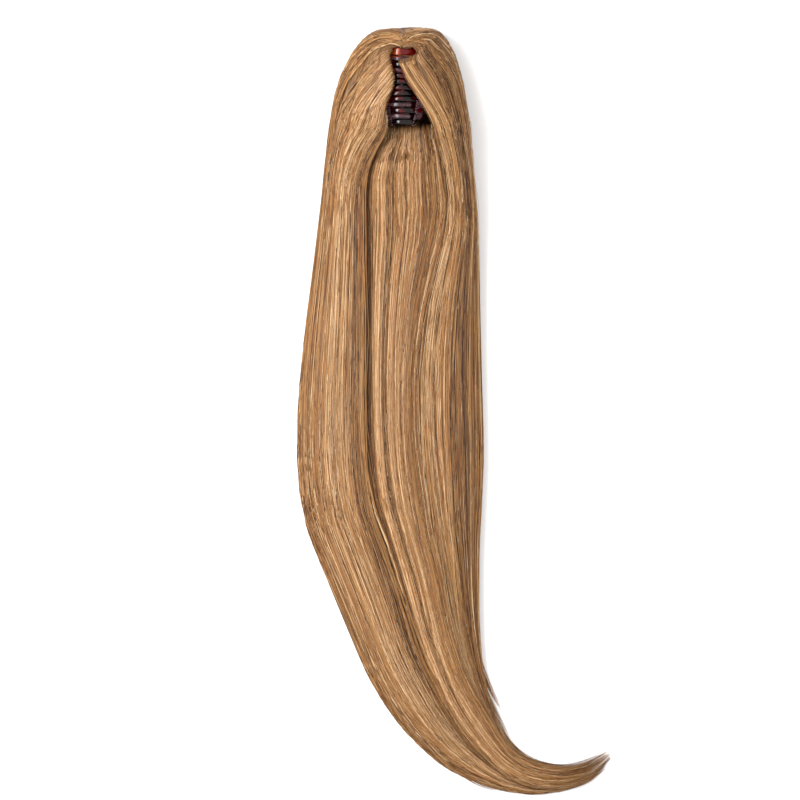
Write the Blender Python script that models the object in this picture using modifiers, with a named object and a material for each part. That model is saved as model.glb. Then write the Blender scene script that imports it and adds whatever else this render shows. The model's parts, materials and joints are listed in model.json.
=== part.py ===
"""Ponytail hairpiece: long straight hair sewn round a claw clip, lying with the clip's teeth up.

Metres, +Z up. The origin is on the surface, under the clip's hinge. +Y points to the crown, and the
fall of hair runs towards -Y and then sweeps to +X. The hair is a hollow cup round the clip and a
solid mound further down. It is three bodies, each with its locks fused to it.
"""
import math

import bmesh
import bpy
import numpy as np
from mathutils import Matrix

MM = 0.001
GAP = 0.3 * MM

# Claw clip
HINGE_Z = 21.5 * MM
CLIP_MIDDLE_Y = -0.5 * MM
FINGERS = 7
FINGER_PITCH = 7.9 * MM
FINGER_ROOT = 4.6 * MM
FINGER_TIP = 2.4 * MM
SHELL = 2.2 * MM
END_NARROWING = 0.40
HANDLE_TAPER = 0.22
HANDLE_FINGERS = 5
# Jaw's profile from its handle to a fingertip, from the hinge: across, up
JAW_PROFILE = (
    (9.2, -11.2),
    (7.0, -5.8),
    (4.95, 0.0),
    (7.8, 6.4),
    (13.2, 11.6),
    (16.4, 18.0),
    (15.6, 24.6),
    (11.4, 30.0),
    (4.4, 32.6),
    (-3.6, 32.8),
    (-9.0, 30.6),
)
PROFILE_STEPS = 2
HINGE_ROW = 2
PLATE_END_ROW = 6

# Hinge
PIN_RADIUS = 1.0 * MM
PIN_HEAD_RADIUS = 1.8 * MM
PIN_HEAD = 1.0 * MM
BORE_RADIUS = PIN_RADIUS + GAP
KNUCKLE_RADIUS = 3.2 * MM
KNUCKLE_LENGTH = 4.6 * MM
INNER_KNUCKLE_Y = 5.8 * MM
OUTER_KNUCKLE_Y = 10.8 * MM
KNUCKLE_ARM = 5.0 * MM
KNUCKLE_ARM_HEIGHT = 3.6 * MM
KNUCKLE_SIDES = 16

# Spring
WIRE_RADIUS = 0.45 * MM
COIL_RADIUS = 2.6 * MM
COIL_TURNS = 4
COIL_STEPS = 12
COIL_HALF_LENGTH = 2.3 * MM
LEG_ACROSS = 5.9 * MM
LEG_DROP = 8.6 * MM

# Weft band: a rounded oval round the clip, nearer the fixed jaw
BAND_THICKNESS = 1.5 * MM
BAND_LEFT = -17.9 * MM
BAND_RIGHT = 27.9 * MM
BAND_CROWN = 27.4 * MM
BAND_NAPE = -28.6 * MM
BAND_LOW = 26.0 * MM
BAND_HIGH = 39.0 * MM
BAND_POWER = 6.0
BAND_STEPS = 48

# Hair
ROOF_THICKNESS = 7.0 * MM
OUTER_POWER = 2.6
INNER_POWER = 4.0
OUTER_POINTS = 17
INNER_POINTS = 7
BACK_POINTS = 17
LOCK_RELIEF = 1.9 * MM
SIDE_LOCKS = 4
BACK_LOCKS = 4
ROW_STEPS = 2
SEAM = 0.5 * MM

# A row for each section of the hair, in millimetres, from the crown to the tip.
# lox, loy: left outer foot. lix, liy: left lock's inner edge. rix, riy, rox, roy: the same on the right.
# lfoot, rfoot: how far in the wall's inner foot is, from 0 at the outer foot to 1 at the inner edge.
# roof: height of the side locks at their inner edge. back: height of the middle hair.
SECTIONS = np.array(
    [
        (0.7, 40.6, 0.7, 27.6, 1.3, 27.6, 1.3, 40.6, 0.74, 0.74, 58.0, 5.2),
        (-12.0, 39.4, -5.8, 26.6, 7.4, 26.8, 13.6, 40.4, 0.62, 0.60, 60.0, 5.2),
        (-22.0, 35.6, -9.4, 22.4, 9.4, 22.4, 24.4, 37.8, 0.46, 0.36, 62.4, 5.2),
        (-32.2, 26.4, -9.0, 17.2, -0.6, 17.0, 34.4, 26.6, 0.46, 0.12, 63.6, 5.2),
        (-39.0, 14.6, -7.6, 10.8, 0.2, 11.4, 39.2, 13.6, 0.58, 0.17, 63.6, 5.2),
        (-43.4, 3.4, -6.6, 4.0, 3.6, 3.4, 41.8, 3.4, 0.61, 0.25, 63.6, 5.2),
        (-46.8, -8.6, -8.8, -4.4, 10.4, -7.0, 43.8, -8.8, 0.665, 0.36, 63.6, 5.2),
        (-49.0, -21.0, -11.8, -14.6, 17.4, -18.0, 45.8, -20.6, 0.70, 0.51, 63.6, 5.2),
        (-50.4, -30.4, -11.0, -26.4, 22.0, -27.4, 46.8, -30.0, 0.76, 0.78, 61.0, 5.2),
        (-51.2, -36.4, -12.6, -33.0, 23.6, -33.0, 47.2, -35.6, 1.00, 1.00, 57.0, 42.0),
        (-52.4, -49.0, -20.4, -47.0, 28.4, -48.0, 48.4, -49.0, 1.00, 1.00, 49.0, 46.0),
        (-54.2, -67.0, -25.6, -65.0, 31.4, -66.0, 50.0, -67.0, 1.00, 1.00, 42.0, 40.0),
        (-56.8, -92.0, -25.8, -91.0, 33.0, -92.0, 51.8, -92.0, 1.00, 1.00, 37.0, 34.0),
        (-62.0, -132.0, -25.0, -131.0, 22.0, -132.0, 53.1, -132.0, 1.00, 1.00, 33.0, 30.0),
        (-67.6, -176.0, -24.0, -175.0, 14.0, -175.0, 53.8, -175.0, 1.00, 1.00, 30.0, 28.0),
        (-71.6, -222.0, -24.0, -220.0, 12.0, -219.0, 55.2, -217.0, 1.00, 1.00, 28.0, 27.0),
        (-71.8, -262.0, -22.0, -258.0, 14.0, -254.0, 56.0, -250.0, 1.00, 1.00, 27.0, 26.5),
        (-67.0, -298.0, -18.0, -289.0, 18.0, -282.0, 55.2, -275.0, 1.00, 1.00, 26.0, 25.5),
        (-54.0, -333.0, -8.0, -319.0, 22.0, -309.0, 54.0, -301.0, 1.00, 1.00, 24.0, 24.0),
        (-39.3, -367.0, 1.2, -349.0, 28.8, -336.7, 52.6, -326.0, 1.00, 1.00, 22.0, 22.5),
        (-25.0, -402.0, 10.8, -382.2, 34.1, -369.3, 52.8, -359.0, 1.00, 1.00, 19.5, 20.5),
        (-8.0, -431.0, 21.7, -407.5, 40.8, -392.3, 53.6, -382.0, 1.00, 1.00, 17.0, 18.5),
        (10.0, -452.0, 31.8, -428.0, 47.8, -410.5, 55.5, -402.0, 1.00, 1.00, 14.5, 16.5),
        (31.0, -469.5, 43.7, -446.7, 55.8, -425.0, 58.5, -420.0, 1.00, 1.00, 12.0, 14.5),
        (58.0, -481.6, 61.6, -466.2, 66.6, -444.9, 67.2, -442.6, 1.00, 1.00, 9.0, 12.5),
        (76.0, -485.5, 76.3, -477.0, 77.0, -458.1, 77.2, -457.0, 1.00, 1.00, 7.0, 11.0),
        (93.0, -486.5, 92.8, -482.7, 92.0, -465.8, 92.0, -465.6, 1.00, 1.00, 5.0, 9.5),
        (112.0, -484.2, 111.7, -483.0, 108.6, -468.7, 108.6, -468.6, 1.00, 1.00, 3.0, 8.0),
        (130.0, -477.5, 129.9, -477.3, 125.1, -466.2, 125.0, -466.0, 1.00, 1.00, 2.0, 6.0),
        (143.5, -462.0, 143.4, -461.9, 140.6, -458.1, 140.5, -458.0, 1.00, 1.00, 1.5, 3.0),
    ]
)
LOX, LOY, LIX, LIY, RIX, RIY, ROX, ROY, LFOOT, RFOOT, ROOF, BACK = range(12)
BACK_START_ROW = 2
LEFT_END_ROW = 27
RIGHT_END_ROW = 25

# Loose lock tips fused to a body, in millimetres: start, end, bend to the left, width, height
LOCK_TIPS = {
    "hair_left": (
        (34.0, -466.0, 67.0, -487.5, -3.0, 11.0, 7.0),
        (62.0, -479.0, 104.0, -489.0, -3.0, 8.0, 5.0),
    ),
    "hair_right": (
        (50.0, -384.0, 71.0, -433.0, -2.0, 8.0, 7.0),
        (55.0, -412.0, 84.0, -455.5, -0.5, 6.0, 6.0),
    ),
    "hair_back": (
        (112.0, -473.0, 138.0, -456.0, -2.0, 6.0, 5.0),
        (120.0, -477.0, 146.5, -463.5, -2.0, 6.0, 4.0),
    ),
}
TIP_STEPS = 10
TIP_POINTS = 7
TIP_END = 0.12
TIP_LIFT = 0.25 * MM

# Colours and roughness
HAIR_LEFT = ((0.44, 0.27, 0.13), 0.42)
HAIR_RIGHT = ((0.42, 0.25, 0.12), 0.42)
HAIR_BACK = ((0.50, 0.29, 0.13), 0.42)
WEFT = ((0.09, 0.05, 0.05), 0.85)
SHELL_RED = ((0.28, 0.02, 0.01), 0.12)
STEEL = ((0.62, 0.62, 0.64), 0.30)


def clear_scene():
    for item in list(bpy.data.objects):
        bpy.data.objects.remove(item, do_unlink=True)


def collection(name):
    group = bpy.data.collections.new(name)
    bpy.context.scene.collection.children.link(group)
    return group


def material(name, look, metallic=0.0):
    colour, roughness = look
    finish = bpy.data.materials.new(name)
    finish.use_nodes = True
    shader = finish.node_tree.nodes["Principled BSDF"]
    shader.inputs["Base Color"].default_value = (*colour, 1.0)
    shader.inputs["Roughness"].default_value = roughness
    shader.inputs["Metallic"].default_value = metallic
    return finish


def add_object(name, mesh, group, finish=None):
    item = bpy.data.objects.new(name, mesh)
    group.objects.link(item)
    if finish:
        mesh.materials.append(finish)
    return item


def mesh_from(name, points, faces):
    """A mesh whose faces all point out of the body that they close."""
    mesh = bpy.data.meshes.new(name)
    mesh.from_pydata([tuple(p) for p in points], [], faces)
    work = bmesh.new()
    work.from_mesh(mesh)
    bmesh.ops.recalc_face_normals(work, faces=work.faces)
    if work.calc_volume(signed=True) < 0:
        bmesh.ops.reverse_faces(work, faces=work.faces)
    work.to_mesh(mesh)
    work.free()
    return mesh


def smooth(item, degrees=40.0):
    item.data.shade_smooth()
    item.data.set_sharp_from_angle(angle=math.radians(degrees))


def hide_cutter(item):
    item.hide_render = True
    item.display_type = "WIRE"


def boolean(item, other, operation):
    change = item.modifiers.new(other.name, "BOOLEAN")
    change.operation = operation
    change.object = other


def bake(item):
    """Replace the object's mesh with its evaluated one, so that what cut or joined it can go."""
    graph = bpy.context.evaluated_depsgraph_get()
    mesh = bpy.data.meshes.new_from_object(item.evaluated_get(graph))
    item.modifiers.clear()
    item.data = mesh


def through_rows(rows, steps, smooth_columns):
    """More rows between the rows of a table: a smooth curve in some columns, straight in the rest."""
    rows = np.asarray(rows, dtype=float)
    places = np.linspace(0, len(rows) - 1, (len(rows) - 1) * steps + 1)
    first = np.minimum(places.astype(int), len(rows) - 2)
    t = (places - first)[:, None]
    padded = np.vstack([2 * rows[0] - rows[1], rows, 2 * rows[-1] - rows[-2]])
    a, b, c, d = (padded[first + k] for k in range(4))
    curve = b + 0.5 * t * (c - a + t * (2 * a - 5 * b + 4 * c - d + t * (3 * (b - c) + d - a)))
    straight = b + t * (c - b)
    keep = np.zeros(rows.shape[1], dtype=bool)
    keep[list(smooth_columns)] = True
    return np.where(keep, curve, straight)


def loft(name, rings):
    """A closed body through rings of the same number of points, capped at both ends."""
    count, around = rings.shape[:2]
    faces = []
    for i in range(count - 1):
        for k in range(around):
            n = (k + 1) % around
            faces.append((i * around + k, i * around + n, (i + 1) * around + n, (i + 1) * around + k))
    faces.append(tuple(range(around)))
    faces.append(tuple((count - 1) * around + k for k in range(around)))
    return mesh_from(name, rings.reshape(-1, 3), faces)


# Claw clip


def finger_centres(side):
    """The moving jaw's fingers; the fixed jaw's stand in the gaps between them."""
    count = FINGERS if side > 0 else FINGERS - 1
    middle = (count - 1) / 2
    return [CLIP_MIDDLE_Y + (middle - k) * FINGER_PITCH for k in range(count)]


def comb_lines(side):
    """The lines along which the comb of a jaw is divided: each has a place and a side of its finger."""
    lines = []
    for y in finger_centres(side):
        lines.append((y, 1.0))
        lines.append((y, -1.0))
    if side < 0:
        end = FINGER_PITCH / 2 + FINGER_ROOT / 2
        lines.insert(0, (lines[0][0] + end, 0.0))
        lines.append((lines[-1][0] - end, 0.0))
    return lines


def comb_mesh(name, side):
    """A jaw as one sheet: a handle, a plate and tapering fingers, bent along the profile."""
    columns = np.array(JAW_PROFILE) * MM
    profile = through_rows(columns, PROFILE_STEPS, (0, 1))
    hinge_row = HINGE_ROW * PROFILE_STEPS
    plate_end = PLATE_END_ROW * PROFILE_STEPS
    last = len(profile) - 1
    lines = comb_lines(side)
    middle = len(lines) / 2
    half_reach = FINGERS / 2 * FINGER_PITCH
    points = []
    for row, (across, up) in enumerate(profile):
        past = max(0.0, (row - plate_end) / (last - plate_end))
        before = max(0.0, (hinge_row - row) / hinge_row)
        risen = min(1.0, max(0.0, (row - hinge_row) / (plate_end - hinge_row)))
        half = (FINGER_ROOT + (FINGER_TIP - FINGER_ROOT) * past) / 2
        for y, edge in lines:
            along = (y - CLIP_MIDDLE_Y + edge * half) * (1 - HANDLE_TAPER * before)
            narrow = 1 - END_NARROWING * risen * (along / half_reach) ** 2
            points.append((side * across * narrow, CLIP_MIDDLE_Y + along, up))
    faces = []
    width = len(lines)
    for row in range(last):
        for k in range(width - 1):
            on_finger = lines[k][1] > 0
            in_handle = abs(k + 1 - middle) < HANDLE_FINGERS
            if row >= plate_end and not on_finger:
                continue
            if row < hinge_row - 1 and not in_handle:
                continue
            corner = row * width + k
            faces.append((corner, corner + 1, corner + 1 + width, corner + width))
    mesh = bpy.data.meshes.new(name)
    mesh.from_pydata(points, [], faces)
    work = bmesh.new()
    work.from_mesh(mesh)
    loose = [v for v in work.verts if not v.link_faces]
    bmesh.ops.delete(work, geom=loose, context="VERTS")
    bmesh.ops.recalc_face_normals(work, faces=work.faces)
    work.to_mesh(mesh)
    work.free()
    return mesh


def upright_cylinder(name, radius, length, y, group):
    """A cylinder on the hinge's axis."""
    bpy.ops.mesh.primitive_cylinder_add(
        vertices=KNUCKLE_SIDES,
        radius=radius,
        depth=length,
        location=(0, y, HINGE_Z),
        rotation=(math.pi / 2, 0, 0),
    )
    return take(name, group)


def take(name, group):
    """Name the object that a primitive has just made and put it in its collection."""
    item = bpy.context.object
    item.name = name
    for old in list(item.users_collection):
        old.objects.unlink(item)
    group.objects.link(item)
    return item


def knuckle(name, side, y, cutters):
    """A round lug on the hinge's axis, with an arm to its jaw's plate."""
    lug = upright_cylinder(name, KNUCKLE_RADIUS, KNUCKLE_LENGTH, y, cutters)
    bpy.ops.mesh.primitive_cube_add(size=1, location=(side * KNUCKLE_ARM / 2, y, HINGE_Z))
    arm = take(name + "_arm", cutters)
    arm.data.transform(Matrix.Diagonal((KNUCKLE_ARM, KNUCKLE_LENGTH, KNUCKLE_ARM_HEIGHT, 1.0)))
    boolean(lug, arm, "UNION")
    hide_cutter(lug)
    hide_cutter(arm)
    return lug


def jaw(name, side, knuckle_y, group, cutters, finish):
    """One jaw, with its origin on the hinge's axis."""
    item = add_object(name, comb_mesh(name, side), group, finish)
    item.location = (0, 0, HINGE_Z)
    wall = item.modifiers.new("wall", "SOLIDIFY")
    wall.thickness = SHELL
    wall.offset = 0.0
    wall.use_even_offset = True
    for end, y in (("crown", knuckle_y), ("nape", -knuckle_y)):
        boolean(item, knuckle(name + "_knuckle_" + end, side, y, cutters), "UNION")
    bore = upright_cylinder(name + "_bore", BORE_RADIUS, 4 * OUTER_KNUCKLE_Y, 0, cutters)
    hide_cutter(bore)
    boolean(item, bore, "DIFFERENCE")
    return item


def hinge_pin(group, finish):
    """A turned pin with a flat head at each end, outside the knuckles."""
    reach = OUTER_KNUCKLE_Y + KNUCKLE_LENGTH / 2 + GAP
    outer = reach + PIN_HEAD
    profile = (
        (0, outer),
        (PIN_HEAD_RADIUS, outer),
        (PIN_HEAD_RADIUS, reach),
        (PIN_RADIUS, reach),
        (PIN_RADIUS, -reach),
        (PIN_HEAD_RADIUS, -reach),
        (PIN_HEAD_RADIUS, -outer),
        (0, -outer),
    )
    mesh = bpy.data.meshes.new("hinge_pin")
    points = [(r, 0, z) for r, z in profile]
    mesh.from_pydata(points, [(k, k + 1) for k in range(len(points) - 1)], [])
    item = add_object("hinge_pin", mesh, group, finish)
    item.location = (0, 0, HINGE_Z)
    item.rotation_euler = (math.pi / 2, 0, 0)
    turn = item.modifiers.new("turn", "SCREW")
    turn.steps = KNUCKLE_SIDES
    turn.render_steps = KNUCKLE_SIDES
    turn.use_merge_vertices = True
    turn.merge_threshold = 0.01 * MM
    return item


def spring_points():
    """A leg on the fixed handle, the coil round the pin, and a leg on the moving handle."""
    points = [(-LEG_ACROSS, -COIL_HALF_LENGTH, -LEG_DROP)]
    count = COIL_TURNS * COIL_STEPS + COIL_STEPS // 2
    for k in range(count + 1):
        angle = math.pi - 2 * math.pi * k / COIL_STEPS
        y = -COIL_HALF_LENGTH + 2 * COIL_HALF_LENGTH * k / count
        points.append((COIL_RADIUS * math.cos(angle), y, COIL_RADIUS * math.sin(angle)))
    points.append((LEG_ACROSS, COIL_HALF_LENGTH, -LEG_DROP))
    return points


def hinge_spring(group, finish):
    curve = bpy.data.curves.new("hinge_spring", "CURVE")
    curve.dimensions = "3D"
    curve.bevel_depth = WIRE_RADIUS
    curve.bevel_resolution = 1
    curve.use_fill_caps = True
    spline = curve.splines.new("POLY")
    points = spring_points()
    spline.points.add(len(points) - 1)
    for point, place in zip(spline.points, points):
        point.co = (*place, 1.0)
    item = add_object("hinge_spring", curve, group, finish)
    item.location = (0, 0, HINGE_Z)
    return item


def weft_band(group, finish):
    """The sewn band: a rounded oval strip that stands round the clip, given its thickness outwards."""
    middle = ((BAND_LEFT + BAND_RIGHT) / 2, (BAND_CROWN + BAND_NAPE) / 2)
    half = ((BAND_RIGHT - BAND_LEFT) / 2, (BAND_CROWN - BAND_NAPE) / 2)
    angle = np.linspace(0, 2 * np.pi, BAND_STEPS, endpoint=False)
    x = middle[0] + half[0] * signed_power(np.cos(angle), 2 / BAND_POWER)
    y = middle[1] + half[1] * signed_power(np.sin(angle), 2 / BAND_POWER)
    points = [(a, b, BAND_LOW) for a, b in zip(x, y)] + [(a, b, BAND_HIGH) for a, b in zip(x, y)]
    faces = []
    for k in range(BAND_STEPS):
        n = (k + 1) % BAND_STEPS
        faces.append((k, n, n + BAND_STEPS, k + BAND_STEPS))
    mesh = bpy.data.meshes.new("weft_band")
    mesh.from_pydata(points, [], faces)
    item = add_object("weft_band", mesh, group, finish)
    wall = item.modifiers.new("wall", "SOLIDIFY")
    wall.thickness = BAND_THICKNESS
    wall.offset = 1.0
    wall.use_even_offset = True
    return item


# Hair


def signed_power(values, power):
    return np.sign(values) * np.abs(values) ** power


def lock_relief(t, locks, size):
    """How much the surface draws in between locks, as a share: none on a lock's middle."""
    share = min(LOCK_RELIEF / size, 0.12)
    return 1 - share * (1 - np.abs(np.cos(locks * np.pi * t)))


def side_ring(outer, inner, foot, roof):
    """A side lock's section: an arch from the outer foot to the inner edge, and its underside back.

    Both arches are quarters of rounded rectangles: across is a power of the cosine and height
    the same power of the sine.
    """
    wall_foot = outer + foot * (inner - outer)
    t = np.linspace(0, 1, OUTER_POINTS)
    size = max(np.linalg.norm(outer - inner), roof)
    drawn = lock_relief(t, SIDE_LOCKS, size)
    angle = t * np.pi / 2
    across = np.abs(np.cos(angle)) ** (2 / OUTER_POWER) * drawn
    up = np.sin(angle) ** (2 / OUTER_POWER) * drawn
    arch = np.column_stack([inner + across[:, None] * (outer - inner), roof * up])
    under = max(roof - ROOF_THICKNESS, roof / 2)
    angle = np.linspace(np.pi / 2, 0, INNER_POINTS)
    across = np.abs(np.cos(angle)) ** (2 / INNER_POWER)
    up = np.sin(angle) ** (2 / INNER_POWER)
    lining = np.column_stack([inner + across[:, None] * (wall_foot - inner), under * up])
    return np.vstack([arch, lining])


def back_ring(left, right, height):
    """The middle hair's section: a low mound between the side locks, flat underneath."""
    t = np.linspace(0, 1, BACK_POINTS)
    crown = 1 - 0.1 * np.abs(2 * t - 1) ** 3
    up = height * crown * lock_relief(t, BACK_LOCKS, height)
    top = np.column_stack([left + t[:, None] * (right - left), up])
    return np.vstack([top, [*right, 0.0], [*left, 0.0]])


def hair_rows():
    rows = through_rows(SECTIONS, ROW_STEPS, (*range(LFOOT), ROOF))
    scale = np.full(SECTIONS.shape[1], MM)
    scale[[LFOOT, RFOOT]] = 1.0
    return rows * scale


def foot_line(rows, outer, inner, foot, side):
    """A side lock's inner feet in plan, moved in towards the middle hair by the seam."""
    line = rows[:, outer] + rows[:, [foot]] * (rows[:, inner] - rows[:, outer])
    along = np.gradient(line, axis=0)
    along /= np.linalg.norm(along, axis=1)[:, None]
    inwards = side * np.column_stack([-along[:, 1], along[:, 0]])
    return line + SEAM * inwards


def lock_tip(name, tip, cutters):
    """A loose end: half-round sections that shrink along a bent line on the surface."""
    x0, y0, x1, y1, bend, width, height = (value * MM for value in tip)
    start = np.array((x0, y0))
    run = np.array((x1, y1)) - start
    aside = np.array((-run[1], run[0])) / np.linalg.norm(run)
    rings = []
    for t in np.linspace(0, 1, TIP_STEPS):
        centre = start + t * run + 4 * t * (1 - t) * bend * aside
        heading = run + 4 * (1 - 2 * t) * bend * aside
        across = np.array((-heading[1], heading[0])) / np.linalg.norm(heading)
        size = TIP_END + (1 - TIP_END) * math.sqrt(1 - t * t)
        angle = np.linspace(0, np.pi, TIP_POINTS)
        plan = centre + (np.cos(angle) * size * width / 2)[:, None] * across
        rings.append(np.column_stack([plan, TIP_LIFT + np.sin(angle) * size * height]))
    item = add_object(name, loft(name, np.array(rings)), cutters)
    hide_cutter(item)
    return item


def hair_body(name, rings, group, cutters, finish):
    item = add_object(name, loft(name, np.array(rings)), group, finish)
    for k, tip in enumerate(LOCK_TIPS[name], 1):
        boolean(item, lock_tip(f"{name}_tip_{k}", tip, cutters), "UNION")
    bake(item)
    smooth(item)
    return item


def hair(group, cutters):
    rows = hair_rows()
    left = [
        side_ring(row[[LOX, LOY]], row[[LIX, LIY]], row[LFOOT], row[ROOF])
        for row in rows[: LEFT_END_ROW * ROW_STEPS + 1]
    ]
    right = [
        side_ring(row[[ROX, ROY]], row[[RIX, RIY]], row[RFOOT], row[ROOF])
        for row in rows[: RIGHT_END_ROW * ROW_STEPS + 1]
    ]
    left_line = foot_line(rows, [LOX, LOY], [LIX, LIY], LFOOT, 1)
    right_line = foot_line(rows, [ROX, ROY], [RIX, RIY], RFOOT, -1)
    first = BACK_START_ROW * ROW_STEPS
    back = [
        back_ring(*places, height)
        for *places, height in zip(left_line[first:], right_line[first:], rows[first:, BACK])
    ]
    hair_body("hair_left", left, group, cutters, material("hair_left", HAIR_LEFT))
    hair_body("hair_right", right, group, cutters, material("hair_right", HAIR_RIGHT))
    hair_body("hair_back", back, group, cutters, material("hair_back", HAIR_BACK))


def main():
    clear_scene()
    group = collection("ponytail_hairpiece")
    cutters = collection("cutters")
    shell = material("tortoiseshell", SHELL_RED)
    steel = material("spring_steel", STEEL, metallic=1.0)
    jaw("claw_left_jaw", -1, INNER_KNUCKLE_Y, group, cutters, shell)
    jaw("claw_right_jaw", 1, OUTER_KNUCKLE_Y, group, cutters, shell)
    hinge_pin(group, steel)
    hinge_spring(group, steel)
    weft_band(group, material("weft", WEFT))
    hair(group, cutters)


main()
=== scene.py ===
"""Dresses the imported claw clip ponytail: strands of hair, shell, netting, steel and a plain studio."""

import json
import math
from functools import partial

import bpy
import numpy as np
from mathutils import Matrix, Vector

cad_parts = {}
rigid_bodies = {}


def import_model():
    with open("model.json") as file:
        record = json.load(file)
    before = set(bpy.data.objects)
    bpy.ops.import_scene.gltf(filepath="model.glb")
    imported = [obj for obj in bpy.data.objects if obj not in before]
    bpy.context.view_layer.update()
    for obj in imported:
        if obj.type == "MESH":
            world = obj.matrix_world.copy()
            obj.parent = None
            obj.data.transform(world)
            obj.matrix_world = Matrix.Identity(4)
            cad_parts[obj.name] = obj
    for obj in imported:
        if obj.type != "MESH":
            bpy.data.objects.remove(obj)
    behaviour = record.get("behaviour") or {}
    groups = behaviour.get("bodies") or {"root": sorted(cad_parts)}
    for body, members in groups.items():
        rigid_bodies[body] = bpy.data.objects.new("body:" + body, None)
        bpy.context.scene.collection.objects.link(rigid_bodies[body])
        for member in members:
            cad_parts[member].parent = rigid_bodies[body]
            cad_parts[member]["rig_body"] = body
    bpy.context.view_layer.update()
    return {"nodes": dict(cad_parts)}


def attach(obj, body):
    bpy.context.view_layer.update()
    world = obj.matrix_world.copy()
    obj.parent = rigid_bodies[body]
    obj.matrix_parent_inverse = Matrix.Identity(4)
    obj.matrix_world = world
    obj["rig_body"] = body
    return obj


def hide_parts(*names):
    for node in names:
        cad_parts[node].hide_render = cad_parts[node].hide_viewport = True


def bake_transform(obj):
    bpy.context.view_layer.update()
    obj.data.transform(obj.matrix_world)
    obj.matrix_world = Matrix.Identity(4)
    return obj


bl_info = {
    "name": "Claw Clip Ponytail",
    "version": (1, 0, 0),
    "blender": (4, 5, 0),
    "location": "3D View > Sidebar > Ponytail",
    "description": "Hair, shell, netting and studio for a ponytail hairpiece on a claw clip",
    "category": "Object",
}

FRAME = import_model()

MM = 0.001
FIXED_BODY = "hairpiece"
MOVING_BODY = "moving_jaw"

# Photograph: its size in pixels, the pixel over the origin and the size of a pixel on the floor
PHOTO_SIZE = 800
ORIGIN_PIXEL = (402.0, 88.0)
PIXEL = 0.69 * MM

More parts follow.
